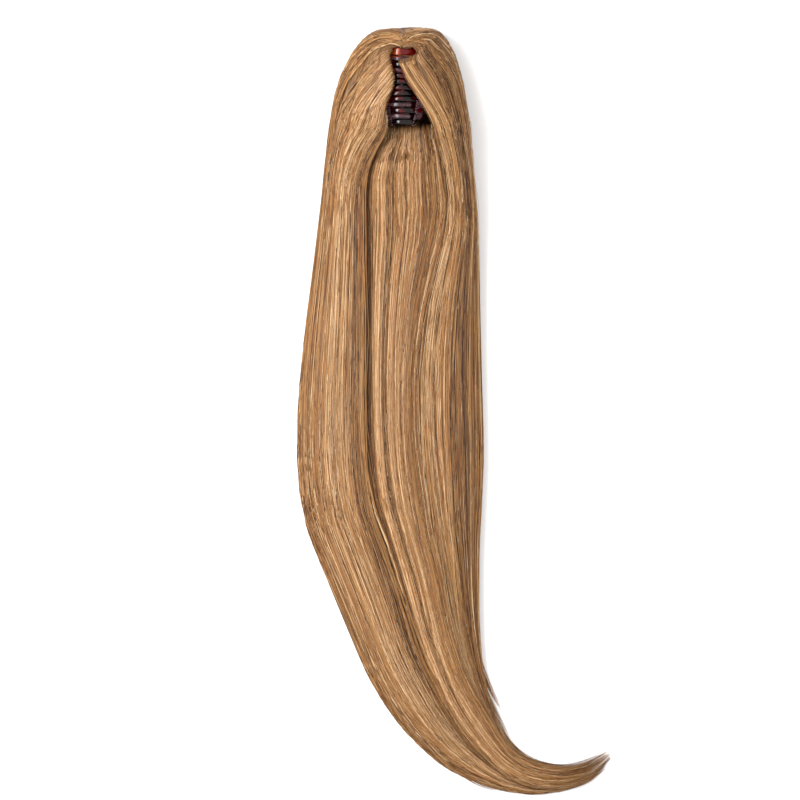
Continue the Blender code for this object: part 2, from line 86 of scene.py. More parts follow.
# A row for each section of the hair, in millimetres, from the crown to the tip.
# lox, loy: left outer foot. lix, liy: left lock's inner edge. rix, riy, rox, roy: the same on the right.
# lfoot, rfoot: how far in the wall's inner foot is, from 0 at the outer foot to 1 at the inner edge.
# roof: height of the side locks at their inner edge. back: height of the middle hair.
SECTIONS = np.array(
    [
        (0.7, 40.6, 0.7, 27.6, 1.3, 27.6, 1.3, 40.6, 0.74, 0.74, 58.0, 5.2),
        (-12.0, 39.4, -5.8, 26.6, 7.4, 26.8, 13.6, 40.4, 0.62, 0.60, 60.0, 5.2),
        (-22.0, 35.6, -9.4, 22.4, 9.4, 22.4, 24.4, 37.8, 0.46, 0.36, 62.4, 5.2),
        (-32.2, 26.4, -9.0, 17.2, -0.6, 17.0, 34.4, 26.6, 0.46, 0.12, 63.6, 5.2),
        (-39.0, 14.6, -7.6, 10.8, 0.2, 11.4, 39.2, 13.6, 0.58, 0.17, 63.6, 5.2),
        (-43.4, 3.4, -6.6, 4.0, 3.6, 3.4, 41.8, 3.4, 0.61, 0.25, 63.6, 5.2),
        (-46.8, -8.6, -8.8, -4.4, 10.4, -7.0, 43.8, -8.8, 0.665, 0.36, 63.6, 5.2),
        (-49.0, -21.0, -11.8, -14.6, 17.4, -18.0, 45.8, -20.6, 0.70, 0.51, 63.6, 5.2),
        (-50.4, -30.4, -11.0, -26.4, 22.0, -27.4, 46.8, -30.0, 0.76, 0.78, 61.0, 5.2),
        (-51.2, -36.4, -12.6, -33.0, 23.6, -33.0, 47.2, -35.6, 1.00, 1.00, 57.0, 42.0),
        (-52.4, -49.0, -20.4, -47.0, 28.4, -48.0, 48.4, -49.0, 1.00, 1.00, 49.0, 46.0),
        (-54.2, -67.0, -25.6, -65.0, 31.4, -66.0, 50.0, -67.0, 1.00, 1.00, 42.0, 40.0),
        (-56.8, -92.0, -25.8, -91.0, 33.0, -92.0, 51.8, -92.0, 1.00, 1.00, 37.0, 34.0),
        (-62.0, -132.0, -25.0, -131.0, 22.0, -132.0, 53.1, -132.0, 1.00, 1.00, 33.0, 30.0),
        (-67.6, -176.0, -24.0, -175.0, 14.0, -175.0, 53.8, -175.0, 1.00, 1.00, 30.0, 28.0),
        (-71.6, -222.0, -24.0, -220.0, 12.0, -219.0, 55.2, -217.0, 1.00, 1.00, 28.0, 27.0),
        (-71.8, -262.0, -22.0, -258.0, 14.0, -254.0, 56.0, -250.0, 1.00, 1.00, 27.0, 26.5),
        (-67.0, -298.0, -18.0, -289.0, 18.0, -282.0, 55.2, -275.0, 1.00, 1.00, 26.0, 25.5),
        (-54.0, -333.0, -8.0, -319.0, 22.0, -309.0, 54.0, -301.0, 1.00, 1.00, 24.0, 24.0),
        (-39.3, -367.0, 1.2, -349.0, 28.8, -336.7, 52.6, -326.0, 1.00, 1.00, 22.0, 22.5),
        (-25.0, -402.0, 10.8, -382.2, 34.1, -369.3, 52.8, -359.0, 1.00, 1.00, 19.5, 20.5),
        (-8.0, -431.0, 21.7, -407.5, 40.8, -392.3, 53.6, -382.0, 1.00, 1.00, 17.0, 18.5),
        (10.0, -452.0, 31.8, -428.0, 47.8, -410.5, 55.5, -402.0, 1.00, 1.00, 14.5, 16.5),
        (31.0, -469.5, 43.7, -446.7, 55.8, -425.0, 58.5, -420.0, 1.00, 1.00, 12.0, 14.5),
        (58.0, -481.6, 61.6, -466.2, 66.6, -444.9, 67.2, -442.6, 1.00, 1.00, 9.0, 12.5),
        (76.0, -485.5, 76.3, -477.0, 77.0, -458.1, 77.2, -457.0, 1.00, 1.00, 7.0, 11.0),
        (93.0, -486.5, 92.8, -482.7, 92.0, -465.8, 92.0, -465.6, 1.00, 1.00, 5.0, 9.5),
        (112.0, -484.2, 111.7, -483.0, 108.6, -468.7, 108.6, -468.6, 1.00, 1.00, 3.0, 8.0),
        (130.0, -477.5, 129.9, -477.3, 125.1, -466.2, 125.0, -466.0, 1.00, 1.00, 2.0, 6.0),
        (143.5, -462.0, 143.4, -461.9, 140.6, -458.1, 140.5, -458.0, 1.00, 1.00, 1.5, 3.0),
    ]
)
LOX, LIX, RIX, ROX, LFOOT, RFOOT, ROOF, BACK = 0, 2, 4, 6, 8, 9, 10, 11
STRAIGHT_COLUMNS = np.isin(np.arange(SECTIONS.shape[1]), (LFOOT, RFOOT, BACK))
LAST_ROW = len(SECTIONS) - 1
SIDE_COLUMNS = {-1: (LOX, LIX, LFOOT), 1: (ROX, RIX, RFOOT)}
# Rows that the middle hair starts at and falls from, powers of the arches' superellipses, the walls'
# thickness at the roof, and the grooves between the four locks of each arch, in millimetres
BACK_FIRST_ROW = 2.0
BACK_FALL_ROW = 9.0
OUTER_POWER = 2.6
INNER_POWER = 4.0
ROOF_THICKNESS = 7.0
LOCKS = 4
LOCK_RELIEF = 1.9
LOCK_SHARE = 0.12
SEAM = 0.5

# Claw clip, in millimetres: across from the hinge and up from it, from the handle to the finger's tip
JAW_PROFILE = np.array(
    [
        (9.2, -11.2),
        (7.0, -5.8),
        (4.95, 0.0),
        (7.8, 6.4),
        (13.2, 11.6),
        (16.4, 18.0),
        (15.6, 24.6),
        (11.4, 30.0),
        (4.4, 32.6),
        (-3.6, 32.8),
        (-9.0, 30.6),
    ]
)
HINGE_Z = 21.5
CLIP_MIDDLE_Y = -0.5
# Fingers of the moving jaw: the fixed one has one less. Rows are those of the profile
FINGERS = 7
FINGER_PITCH = 7.9
JAW_HALF_LENGTH = FINGERS / 2 * FINGER_PITCH
FINGER_ROOT = 4.6
FINGER_TIP = 2.4
SHELL = 2.2
HINGE_ROW = 2
PLATE_END_ROW = 6
HANDLE_FINGERS = 5
HANDLE_TAPER = 0.22
END_NARROWING = 0.40
END_FINGER_REACH = 0.8
END_FINGER_WIDER = 2.6
# Lugs, pin hole and spring
KNUCKLE_RADIUS = 3.2
KNUCKLE_LENGTH = 4.6
KNUCKLE_ARM = 1.7
KNUCKLE_ROUNDING = 0.35
BORE_RADIUS = 1.3
KNUCKLE_Y = {-1: 5.8, 1: 10.8}
COIL_RADIUS = 2.6
COIL_TURNS = 4.5
COIL_HALF_LENGTH = 2.3
WIRE_RADIUS = 0.45
LEG_ACROSS = 5.9
LEG_DROP = 8.6

# Weft band, in millimetres
BAND_LEFT = -17.9
BAND_RIGHT = 27.9
BAND_CROWN = 27.4
BAND_NAPE = -28.6
BAND_LOW = 26.0
BAND_HIGH = 39.0
BAND_THICKNESS = 1.5
BAND_POWER = 6.0


def srgb(red, green, blue):
    """A screen colour of 0 to 255 as the linear light that a shader takes: the sRGB curve, undone."""
    value = np.array((red, green, blue)) / 255
    light = np.where(value <= 0.04045, value / 12.92, ((value + 0.055) / 1.055) ** 2.4)
    return tuple(float(v) for v in light)


def colour_property(name, description, value):
    return bpy.props.FloatVectorProperty(
        name=name, description=description, subtype="COLOR", size=3, min=0, max=1, default=value
    )


def length_property(name, description, value):
    return bpy.props.FloatProperty(
        name=name, description=description, unit="LENGTH", min=0, default=value * MM
    )


def power_property(name, description, value):
    return bpy.props.FloatProperty(
        name=name, description=description, unit="POWER", min=0, default=value
    )


def count_property(name, description, value):
    return bpy.props.IntProperty(name=name, description=description, min=1, default=value)


class HairSettings(bpy.types.PropertyGroup):
    """Sizes and counts of the hair."""

    strand_width: length_property("Strand width", "Width of one fine strand", 0.40)
    ribbon_width: length_property("Ribbon width", "Width of a flat lock of hair", 1.5)
    side_strands: count_property("Side strands", "Fine strands in each layer of a side lock", 900)
    back_strands: count_property("Back strands", "Fine strands in the middle hair", 880)
    side_ribbons: count_property("Side ribbons", "Flat locks in each side lock", 80)
    back_ribbons: count_property("Back ribbons", "Flat locks in the middle hair", 90)
    flyaways: count_property("Flyaways", "Loose single hairs along each side's outline", 170)
    seed: bpy.props.IntProperty(name="Seed", description="Start of the random numbers", default=11)


class HairColours(bpy.types.PropertyGroup):
    """Colours of the hair, from its shaded gaps to its lightest strands."""

    umber: colour_property("Umber", "Darkest strands", srgb(38, 22, 14))
    brown: colour_property("Brown", "Lowlights", srgb(88, 57, 36))
    honey: colour_property("Honey", "Middle tone", srgb(137, 97, 59))
    gold: colour_property("Gold", "Warm light strands", srgb(169, 125, 73))
    copper: colour_property("Copper", "Copper strands", srgb(156, 92, 46))
    beige: colour_property("Beige", "Lightest strands", srgb(214, 184, 146))
    roughness: bpy.props.FloatProperty(
        name="Roughness", description="Roughness of a strand", subtype="FACTOR", min=0, max=1, default=0.46
    )


class ClipSettings(bpy.types.PropertyGroup):
    """Finish of the claw clip and the netting."""

    edge_radius: length_property("Edge radius", "Rounding of the moulded shell's edges", 0.85)
    amber: colour_property("Amber", "Light patches of the shell", srgb(150, 60, 20))
    red: colour_property("Red", "Deep red of the shell", srgb(88, 6, 5))
    black: colour_property("Black", "Dark patches of the shell", srgb(10, 3, 4))
    mauve: colour_property("Mauve", "Netting and weft thread", srgb(96, 60, 68))
    steel: colour_property("Steel", "Pin and spring wire", srgb(200, 200, 205))
    yarn_width: length_property("Yarn width", "Thickness of the netting's yarn", 0.42)


class StageSettings(bpy.types.PropertyGroup):
    """Floor, lights and camera."""

    camera_height: length_property("Camera height", "Height of the camera over the floor", 12000)
    floor_size: length_property("Floor size", "Side of the square floor", 30000)
    floor: colour_property("Floor", "Colour of the floor", (0.90, 0.90, 0.90))
    key_power: power_property("Key light", "Power of the soft light at the upper left", 24.0)
    strip_power: power_property("Strip light", "Power of the long light beside the crown", 11.5)
    fill_power: bpy.props.FloatProperty(
        name="Sky light", description="Strength of the even light", min=0, default=1.30
    )


# Shapes


def signed_power(values, power):
    """Powers of the sizes of values, with the sign of each."""
    return np.sign(values) * np.abs(values) ** power


def full_turn(count):
    """Angles of points spread evenly round a circle."""
    return np.linspace(0, 2 * np.pi, count, endpoint=False)


def raised(plan, height):
    """Points from their plan and their height."""
    return np.concatenate([plan, height[..., None]], axis=-1)


def curve_at(table, places):
    """A Catmull-Rom curve through a table's rows at places counted in rows, and straight lines there."""
    first = np.minimum(places.astype(int), len(table) - 2)
    t = (places - first)[..., None]
    padded = np.vstack([2 * table[0] - table[1], table, 2 * table[-1] - table[-2]])
    a, b, c, d = (padded[first + k] for k in range(4))
    curve = b + 0.5 * t * (c - a + t * (2 * a - 5 * b + 4 * c - d + t * (3 * (b - c) + d - a)))
    return curve, b + t * (c - b)


def through(points, steps):
    """The curve through a table of points, with steps between each two."""
    last = len(points) - 1
    return curve_at(points, np.linspace(0, last, last * steps + 1))[0]


def rows_at(s):
    """The section table at any row s, in millimetres, on the curve through its rows.

    The foot fractions and the middle height run straight between rows, as the solids do.
    """
    curve, straight = curve_at(SECTIONS, np.clip(np.asarray(s, dtype=float), 0, LAST_ROW))
    return np.where(STRAIGHT_COLUMNS, straight, curve)


def lock_relief(t, size):
    """Share of the full size left at t: 1 on a lock's middle, less in the grooves between locks."""
    share = np.minimum(LOCK_RELIEF / size, LOCK_SHARE)
    return 1 - share * (1 - np.abs(np.cos(LOCKS * np.pi * np.clip(t, 0, 1))))


def side_feet(side, s):
    """A side lock's outer foot and inner edge in plan and its roof's height, at row s of the table."""
    row = rows_at(s)
    outer, inner, _ = SIDE_COLUMNS[side]
    return row[..., outer : outer + 2], row[..., inner : inner + 2], row[..., ROOF]


def side_surface(side, s, t):
    """A side lock's outside, in metres: a quarter superellipse from the outer foot, t = 0, to the
    inner edge, t = 1. Across is the cosine and height the sine, both to the power 2 / 2.6, drawn in
    between the four locks. Past t = 1 it runs on over the middle hair.
    """
    outer, inner, roof = side_feet(side, s)
    size = np.maximum(np.linalg.norm(outer - inner, axis=-1), roof)
    drawn = lock_relief(t, size)
    angle = t * np.pi / 2
    across = signed_power(np.cos(angle), 2 / OUTER_POWER) * drawn
    up = signed_power(np.sin(angle), 2 / OUTER_POWER) * drawn
    plan = inner + across[..., None] * (outer - inner)
    return raised(plan, roof * up) * MM


def mound(t, height):
    """The middle hair's height at t, less a tenth of the cube of the way to its edges, in locks."""
    return height * (1 - 0.1 * np.abs(2 * t - 1) ** 3) * lock_relief(t, height)


def back_surface(s, t):
    """The middle hair's top, in metres: a low mound from the left lock, t = 0, to the right, t = 1."""
    row = rows_at(s)
    left, right = row[..., LIX : LIX + 2], row[..., RIX : RIX + 2]
    plan = left + t[..., None] * (right - left)
    return raised(plan, mound(t, row[..., BACK])) * MM


def heart(surface, s):
    """A point inside the hair at row s, from which the outside faces away."""
    low = surface(s, np.zeros_like(s))
    high = surface(s, np.ones_like(s))
    middle = (low + high) / 2
    middle[..., 2] *= 0.3
    return middle


def unit(vectors):
    """Vectors divided by their lengths."""
    return vectors / np.maximum(np.linalg.norm(vectors, axis=-1, keepdims=True), 1e-12)


def outward(surface, s, t):
    """Outward normal: the cross product of the surface's steps along s and t, turned out of the hair."""
    step = 2e-3
    s = np.clip(s, step, LAST_ROW - step)
    along = surface(s + step, t) - surface(s - step, t)
    over = surface(s, t + step) - surface(s, t - step)
    normal = unit(np.cross(along, over))
    facing = np.sum(normal * (surface(s, t) - heart(surface, s)), axis=-1, keepdims=True)
    return normal * np.where(facing < 0, -1.0, 1.0)


def surface_width(surface, s):
    """Rough distance in metres over the surface from t = 0 to t = 1."""
    ends = surface(s, np.ones_like(s)) - surface(s, np.zeros_like(s))
    return 0.85 * (np.linalg.norm(ends[..., :2], axis=-1) + np.abs(ends[..., 2]))


# Meshes


def new_piece(name, points, faces, materials, body=FIXED_BODY):
    """A mesh from an array of points and a list of face arrays, each with one number of corners."""
    mesh = bpy.data.meshes.new(name)
    corners = np.concatenate([f.ravel() for f in faces]).astype(np.int32)
    sizes = np.concatenate([np.full(len(f), f.shape[1]) for f in faces])
    starts = np.concatenate([[0], np.cumsum(sizes)[:-1]]).astype(np.int32)
    mesh.vertices.add(len(points))
    mesh.vertices.foreach_set("co", np.ascontiguousarray(points, dtype=np.float32).ravel())
    mesh.loops.add(len(corners))
    mesh.loops.foreach_set("vertex_index", corners)
    mesh.polygons.add(len(starts))
    mesh.polygons.foreach_set("loop_start", starts)
    mesh.update(calc_edges=True)
    mesh.validate()
    mesh.shade_smooth()
    for finish in materials:
        mesh.materials.append(finish)
    item = bpy.data.objects.new(name, mesh)
    bpy.context.scene.collection.objects.link(item)
    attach(item, body)
    return item


def point_values(item, name, values):
    """One number for each point, which a material reads by name."""
    attribute = item.data.attributes.new(name, "FLOAT", "POINT")
    attribute.data.foreach_set("value", np.asarray(values, dtype=np.float32).ravel())


def flow_map(item, across, along):
    """A UV map named flow: metres across the hair and metres along it."""
    corner = np.empty(len(item.data.loops), dtype=np.int32)
    item.data.loops.foreach_get("vertex_index", corner)
    uv = np.column_stack([np.ravel(across)[corner], np.ravel(along)[corner]])
    layer = item.data.uv_layers.new(name="flow")
    layer.data.foreach_set("uv", uv.astype(np.float32).ravel())


def grid_faces(rows, columns, closed):
    """Four-cornered faces of a grid whose points are numbered row by row."""
    last = columns if closed else columns - 1
    r, c = np.meshgrid(np.arange(rows - 1), np.arange(last), indexing="ij")
    n = (c + 1) % columns
    corners = (r * columns + c, r * columns + n, (r + 1) * columns + n, (r + 1) * columns + c)
    return np.stack(corners, axis=-1).reshape(-1, 4)


def closed_rings(count, around):
    """Faces of a ring of closed sections: after the last section comes the first."""
    return grid_faces(count + 1, around, True) % (count * around)


def tubes(paths, normals, width, height, sides):
    """Closed tubes carried along paths of shape (tubes, stations, 3).

    A section is an ellipse: width times cosine across the path and height times sine along the normal.
    Returns points, faces, and the place across and along each tube in metres.
    """
    count, stations = paths.shape[:2]
    heading = unit(np.gradient(paths, axis=1))
    across = unit(np.cross(heading, normals))
    up = np.cross(across, heading)
    angle = np.arange(sides) / sides * 2 * np.pi + np.pi / 2
    flat = np.cos(angle)[:, None] * (width[..., None, None] / 2) * across[:, :, None]
    tall = np.sin(angle)[:, None] * (height[..., None, None] / 2) * up[:, :, None]
    points = paths[:, :, None] + flat + tall
    body = grid_faces(stations, sides, True)
    ring = np.arange(sides)
    start = ring[::-1][None]
    end = (ring + (stations - 1) * sides)[None]
    shift = (np.arange(count) * stations * sides)[:, None, None]
    faces = [(part[None] + shift).reshape(-1, part.shape[1]) for part in (body, start, end)]
    steps = np.linalg.norm(np.diff(paths, axis=1), axis=-1)
    along = np.concatenate([np.zeros((count, 1)), np.cumsum(steps, axis=1)], axis=1)
    along = np.repeat(along[..., None], sides, axis=-1)
    side = np.cos(angle) * width[..., None] / 2
    return points.reshape(-1, 3), faces, side, along


def strand_piece(name, paths, normals, width, tone, random, sides=3):
    """Strands as one piece of closed tubes, each with its tone and its own start on the flow map.

    A strand of three sides is as high as it is wide, and a ribbon of six is flat.
    """
    height = width * (1.0 if sides == 3 else RIBBON_HEIGHT)
    points, faces, side, along = tubes(paths, normals, width, height, sides)
    item = new_piece(name, points, faces, [strand_finish()])
    shift = random.uniform(0, 3, len(paths))[:, None, None]
    point_values(item, "tone", np.broadcast_to(np.clip(tone, 0, 1)[:, None, None], along.shape))
    # root is the share of painted shade: 1 at the root, none past ROOT_SHADE
    point_values(item, "root", np.clip(1 - along / ROOT_SHADE, 0, 1))
    flow_map(item, side + shift, along + shift)


# Hair


# Lanes of the side strands, in rows: the power of their turn, its length on each side, and how far down
# the opening they start with the power of their spacing. The right ones end at the clamped lock's place.
LANE_POWER = 1.8
CROWN_TURN = {-1: 6.6, 1: 5.0}
EDGE_START = {-1: (8.2, 1.6), 1: (0.7, 1.0)}
CLAMPED_AIM = 0.74
OUTER_AIM = 0.01
AIM_SPAN = {-1: 0.985, 1: CLAMPED_AIM}
AIM_POWER = 0.9
START_CHANCE = 0.14
END_CHANCE = 0.9
TURN_SHARE = 0.38
TURN_SPACING = 1.5

# Strands that settle further out than OVER_CROWN go over the crown and fan out there
OVER_CROWN = 0.34
OVER_START = -2.4
OVER_TURN = 3.4
OVER_CHANCE = 0.12
CROWN_FAN = 0.12
CROWN_FAN_Y = 27 * MM
CROWN_DARK_START = -0.35
CROWN_DARK_SHARE = 0.4
CROWN_DARKER = 0.2

# Roots: how the middle hair rises from the band, in shares and millimetres, and the side strands' tuck
ROOT_CLIMB = (0.0, 0.3, 0.65)
ROOT_ARCH = 1.6
ROOT_IN = 2.0
ROOT_RISE = 1.0
ROOT_CHANCE = 1.2
TUCK_STATIONS = np.array([1.0, 0.45, 0.12])
TUCK_OUT = 0.7 * MM
TUCK_DOWN = 7.0 * MM
# Painted shade over the first 12 mm of every strand, for the shade where strands come out from under the
# lock edges, the weft band and the clip
ROOT_SHADE = 12 * MM

# Forms of strands and clumps
RIBBON_HEIGHT = 0.3
FLOOR_GAP = 0.3 * MM
CLUMP_MOUND = 0.7 * MM
NARROWEST = 6 * MM
SLOW_SWAY = 0.8 * MM
QUICK_SWAY = 0.3 * MM
STRAY_SHARE = 0.14
STRAY_FAR = 4.5 * MM
STRAY_NEAR = 0.8 * MM
OUTLINE_T = 0.22
FLYAWAY_WIDTH = 0.2 * MM

# Tones, from 0 to 1: the base on each side, the spread of locks and strands, and size and pace of waves.
# The left lock's base, higher than the right one's, is partly lighter strands and partly painted light from
# the lamps at the left
BASE_TONE = {-1: 0.48, 0: 0.45, 1: 0.45}
LOCK_TONES = 0.24
STRAND_TONES = 0.22
TONE_WAVES = ((0.07, 8), (0.07, 21), (0.05, 47))
STREAK_PULL = 0.85
# Streaks of one tone, as place across, half width and tone, for the left lock, the middle and the right.
# The dark streaks at the left lock's inner edge, 0.97, and at the middle hair's left edge, 0.02, are
# painted shade in the seam between them
STREAKS = {
    -1: ((0.97, 0.02, 0.34), (0.30, 0.03, 0.70), (0.62, 0.04, 0.66), (0.10, 0.06, 0.66)),
    0: ((0.02, 0.02, 0.30), (0.15, 0.04, 0.76), (0.58, 0.07, 0.75), (0.40, 0.05, 0.62), (0.78, 0.03, 0.22)),
    1: ((0.55, 0.035, 0.06), (0.84, 0.05, 0.62), (0.97, 0.03, 0.66), (0.36, 0.05, 0.40)),
}


def lane(s, start, aim, turn, first=0.0):
    """Place t of a strand at row s. In plan it leaves its first share of the way across at row start
    and reaches its own after turn rows, along one minus a power of what is left. The place t is the
    angle whose cosine, to the power 2 / 2.6, is that share.
    """
    gone = np.clip((s - start) / turn, 0, 1)
    reach = np.cos(aim * np.pi / 2) ** (2 / OUTER_POWER)
    across = first + (reach - first) * (1 - (1 - gone) ** LANE_POWER)
    return np.arccos(np.clip(across, 0, 1) ** (OUTER_POWER / 2)) * 2 / np.pi


def stations(start, turn, end, count):
    """Rows of a strand's stations: over a third of them in its turn, closest at the root, the rest even."""
    first = int(count * TURN_SHARE)
    turning = turn[:, None] * np.linspace(0, 1, first, endpoint=False) ** TURN_SPACING
    settled = start + turn
    falling = (end - settled)[:, None] * np.linspace(0, 1, count - first)
    return np.concatenate([start[:, None] + turning, settled[:, None] + falling], axis=1)


def even_places(count, random):
    """Places from 0 to 1, one in each equal share, in a mixed order."""
    return random.permutation((np.arange(count) + random.random(count)) / count)


def clump(count, clumps, random):
    """Which clump each strand is in, and its place across it, from -1 to 1."""
    member = random.integers(0, clumps, count)
    return member, random.uniform(-1, 1, count)


def tones(place, side, random):
    """Tones of locks at their places across: a base, three slow sines with their own phases, chance, and
    the streaks, each of which draws the tone to its own by a bell curve.
    """
    phase = random.uniform(0, 2 * np.pi, 3)
    waves = sum(size * np.sin(place * pace + p) for (size, pace), p in zip(TONE_WAVES, phase))
    tone = BASE_TONE[side] + waves + random.normal(0, LOCK_TONES, len(place))
    for middle, half, aimed in STREAKS[side]:
        tone += (aimed - tone) * STREAK_PULL * np.exp(-(((place - middle) / half) ** 2))
    return np.clip(tone, 0.02, 0.98)


def strays(count, random):
    """How far across, in metres, each strand has strayed by its end: little for most, more for a few."""
    few = random.random(count) < STRAY_SHARE
    far, near = random.normal(0, STRAY_FAR, count), random.normal(0, STRAY_NEAR, count)
    return np.where(few, far, near)[:, None]


def thinned(t):
    """Share of a strand's height over the surface: less near the outline, by a straight rise from t = 0."""
    return 0.25 + 0.75 * np.clip(t / OUTLINE_T, 0, 1)


def lay(surface, s, t, lift):
    """Points over a surface and its normals there: the surface plus lift times its outward normal."""
    normal = outward(surface, s, t)
    return surface(s, t) + lift[..., None] * normal, normal


def tapered(width, spread, count, along, share, random):
    """Widths along strands: the width times each strand's own chance, and a point over its last share."""
    left = 1 - np.linspace(0, 1, along)
    return width * random.uniform(*spread, (count, 1)) * np.clip(left / share, 0.04, 1)


def sway(s, member, clumps, paces, random):
    """How far clumps sway across, in metres: a slow and a quick sine of the row, with their own phases."""
    slow, quick = random.uniform(0, 2 * np.pi, (2, clumps))[:, member][..., None]
    return SLOW_SWAY * np.sin(paces[0] * s + slow) + QUICK_SWAY * np.sin(paces[1] * s + quick)


def side_lanes(side, aim, random):
    """Starting row and turn of strands in a side lock, from where they settle.

    On the left they leave the edge all the way down the opening, on the right only near the crown.
    Outer ones go over the crown, the lowest of them straight down its end with a short turn.
    """
    reach, power = EDGE_START[side]
    start = reach * aim**power
    turn = np.full_like(aim, CROWN_TURN[side])
    over = aim < OVER_CROWN
    chance = random.normal(0, OVER_CHANCE, int(over.sum()))
    steep = np.clip(1 - aim[over] / OVER_CROWN + chance, 0, 1)
    start[over] = OVER_START * steep
    turn[over] = OVER_TURN * steep + CROWN_TURN[side] * (1 - steep)
    return start, turn


def tucked_root(points, normals, surface, s):
    """Adds a root in front of each strand: it comes up inside the inner edge, just clear of it."""
    edge = surface(s[:, :1], np.ones_like(s[:, :1]))
    out = edge - surface(s[:, :1], np.full_like(s[:, :1], 0.8))
    out[..., 2] = 0
    out = unit(out)
    shift = out * TUCK_OUT - (0, 0, TUCK_DOWN)
    root = points[:, :1] + TUCK_STATIONS[None, :, None] * shift + out * TUCK_OUT
    facing = np.repeat(out, len(TUCK_STATIONS), axis=1)
    return np.concatenate([root, points], axis=1), np.concatenate([facing, normals], axis=1)


def side_strands(name, side, count, clumps, spread, lift, rows, thick, sides, along, random):
    """Strands of a side lock in clumps, as closed tubes that taper to their tips."""
    surface = partial(side_surface, side)
    aims = AIM_SPAN[side] * even_places(clumps, random) ** AIM_POWER + OUTER_AIM
    member, place = clump(count, clumps, random)
    aim = aims[member]
    clump_start, clump_turn = side_lanes(side, aims, random)
    start = clump_start[member] + random.normal(0, START_CHANCE, count)
    turn = clump_turn[member]
    end = random.uniform(*rows, clumps)[member] + random.normal(0, END_CHANCE, count)
    s = stations(start, turn, np.minimum(end, LAST_ROW), along)
    wave = sway(s, member, clumps, (0.55, 1.7), random)
    gone = np.linspace(0, 1, along)
    shift = place[:, None] * spread * (1 - 0.55 * gone**3) + wave + strays(count, random) * gone
    t = lane(s, start[:, None], aim[:, None], turn[:, None])
    t = t + shift * np.clip(4 * gone, 0.25, 1) / np.maximum(surface_width(surface, s), NARROWEST)
    t = np.clip(t, 0.01, 1.008)
    puff = np.sqrt(np.maximum(1 - place**2, 0))[:, None] * CLUMP_MOUND
    height = (lift + puff * np.sin(np.pi * np.clip(gone * 1.05, 0, 1)) ** 0.3) * thinned(t)
    points, normals = lay(surface, s, t, height)
    fan = np.where(start < 0, random.normal(0, CROWN_FAN, count), 0)[:, None]
    points[..., 0] += fan * np.maximum(points[..., 1] - CROWN_FAN_Y, 0)
    points, normals = tucked_root(points, normals, surface, s)
    points[..., 2] = np.maximum(points[..., 2], FLOOR_GAP)
    width = tapered(thick, (0.7, 1.25), count, points.shape[1], 0.2, random)
    tone = tones(aims, side, random)[member] + random.normal(0, STRAND_TONES, count)
    darker = (start < CROWN_DARK_START) & (random.random(count) < CROWN_DARK_SHARE)
    tone = np.where(darker, tone - CROWN_DARKER, tone)
    strand_piece(name, points, normals, width, tone, random, sides)


def back_strands(name, count, clumps, spread, lift, rows, thick, sides, along, random):
    """Strands of the middle hair: each keeps its place between the side locks, from weft to tail."""
    aims = even_places(clumps, random)
    member, place = clump(count, clumps, random)
    aim = 0.02 + 0.96 * aims[member]
    start = BACK_FALL_ROW + 0.1 + 0.2 * random.random(count)
    end = random.uniform(*rows, clumps)[member] + random.normal(0, 0.7, count)
    share = np.linspace(0, 1, along)
    s = start[:, None] + (np.minimum(end, LAST_ROW) - start)[:, None] * share**1.12
    wave = sway(s, member, clumps, (0.5, 1.6), random)
    shift = place[:, None] * spread * (1 - 0.5 * share**3) + wave + strays(count, random) * share
    t = aim[:, None] + shift / np.maximum(surface_width(back_surface, s), NARROWEST)
    puff = np.sqrt(np.maximum(1 - place**2, 0))[:, None] * CLUMP_MOUND
    points, normals = lay(back_surface, s, np.clip(t, 0.01, 0.99), lift + puff)
    foot = points[:, 0] * (0.95, 1, 1) + (0.2 * MM, 0, 0)
    foot[:, 1] = (BAND_NAPE + ROOT_IN + random.uniform(-ROOT_CHANCE, ROOT_CHANCE, count)) * MM
    foot[:, 2] = (BAND_HIGH + ROOT_RISE) * MM
    climb = np.array(ROOT_CLIMB)[None, :, None]
    root = foot[:, None] + climb * (points[:, :1] - foot[:, None])
    root[..., 2] += ROOT_ARCH * MM * np.sin(np.pi * climb[..., 0])
    points = np.concatenate([root, points], axis=1)
    normals = np.concatenate([np.repeat(normals[:, :1], len(ROOT_CLIMB), axis=1), normals], axis=1)
    points[..., 2] = np.maximum(points[..., 2], FLOOR_GAP)
    width = tapered(thick, (0.75, 1.25), count, points.shape[1], 0.16, random)
    tone = tones(aims, 0, random)[member] + random.normal(0, STRAND_TONES, count)
    strand_piece(name, points, normals, width, tone, random, sides)


BASE_ROW_STEPS = 4
BASE_TOP_POINTS = 60
BASE_LINING_POINTS = 18
BASE_FLOOR_POINTS = 12
ROW_LENGTH = 18


def base_body(name, rings, s, shade, width, slow, quick, node):
    """A closed body through rings, which stands for a hair solid under the strands.

    Its flow map runs over width millimetres of shade, the place round a ring, and its tone is the
    product of two sines of shade, one slow and one quick.
    """
    count, around = shape = rings.shape[:2]
    start = np.arange(around)[None]
    end = start[:, ::-1] + (count - 1) * around
    faces = [grid_faces(count, around, True), start, end]
    item = new_piece(name, rings.reshape(-1, 3), faces, [base_finish()])
    turn_outwards(item)
    tone = 0.42 + 0.16 * np.sin(shade * slow) * np.sin(shade * quick + 1)
    point_values(item, "tone", np.broadcast_to(tone, shape))
    point_values(item, "root", np.zeros(shape))
    across = np.broadcast_to(shade * width * MM, shape)
    flow_map(item, across, np.broadcast_to((s * ROW_LENGTH * MM)[:, None], shape))
    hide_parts(node)


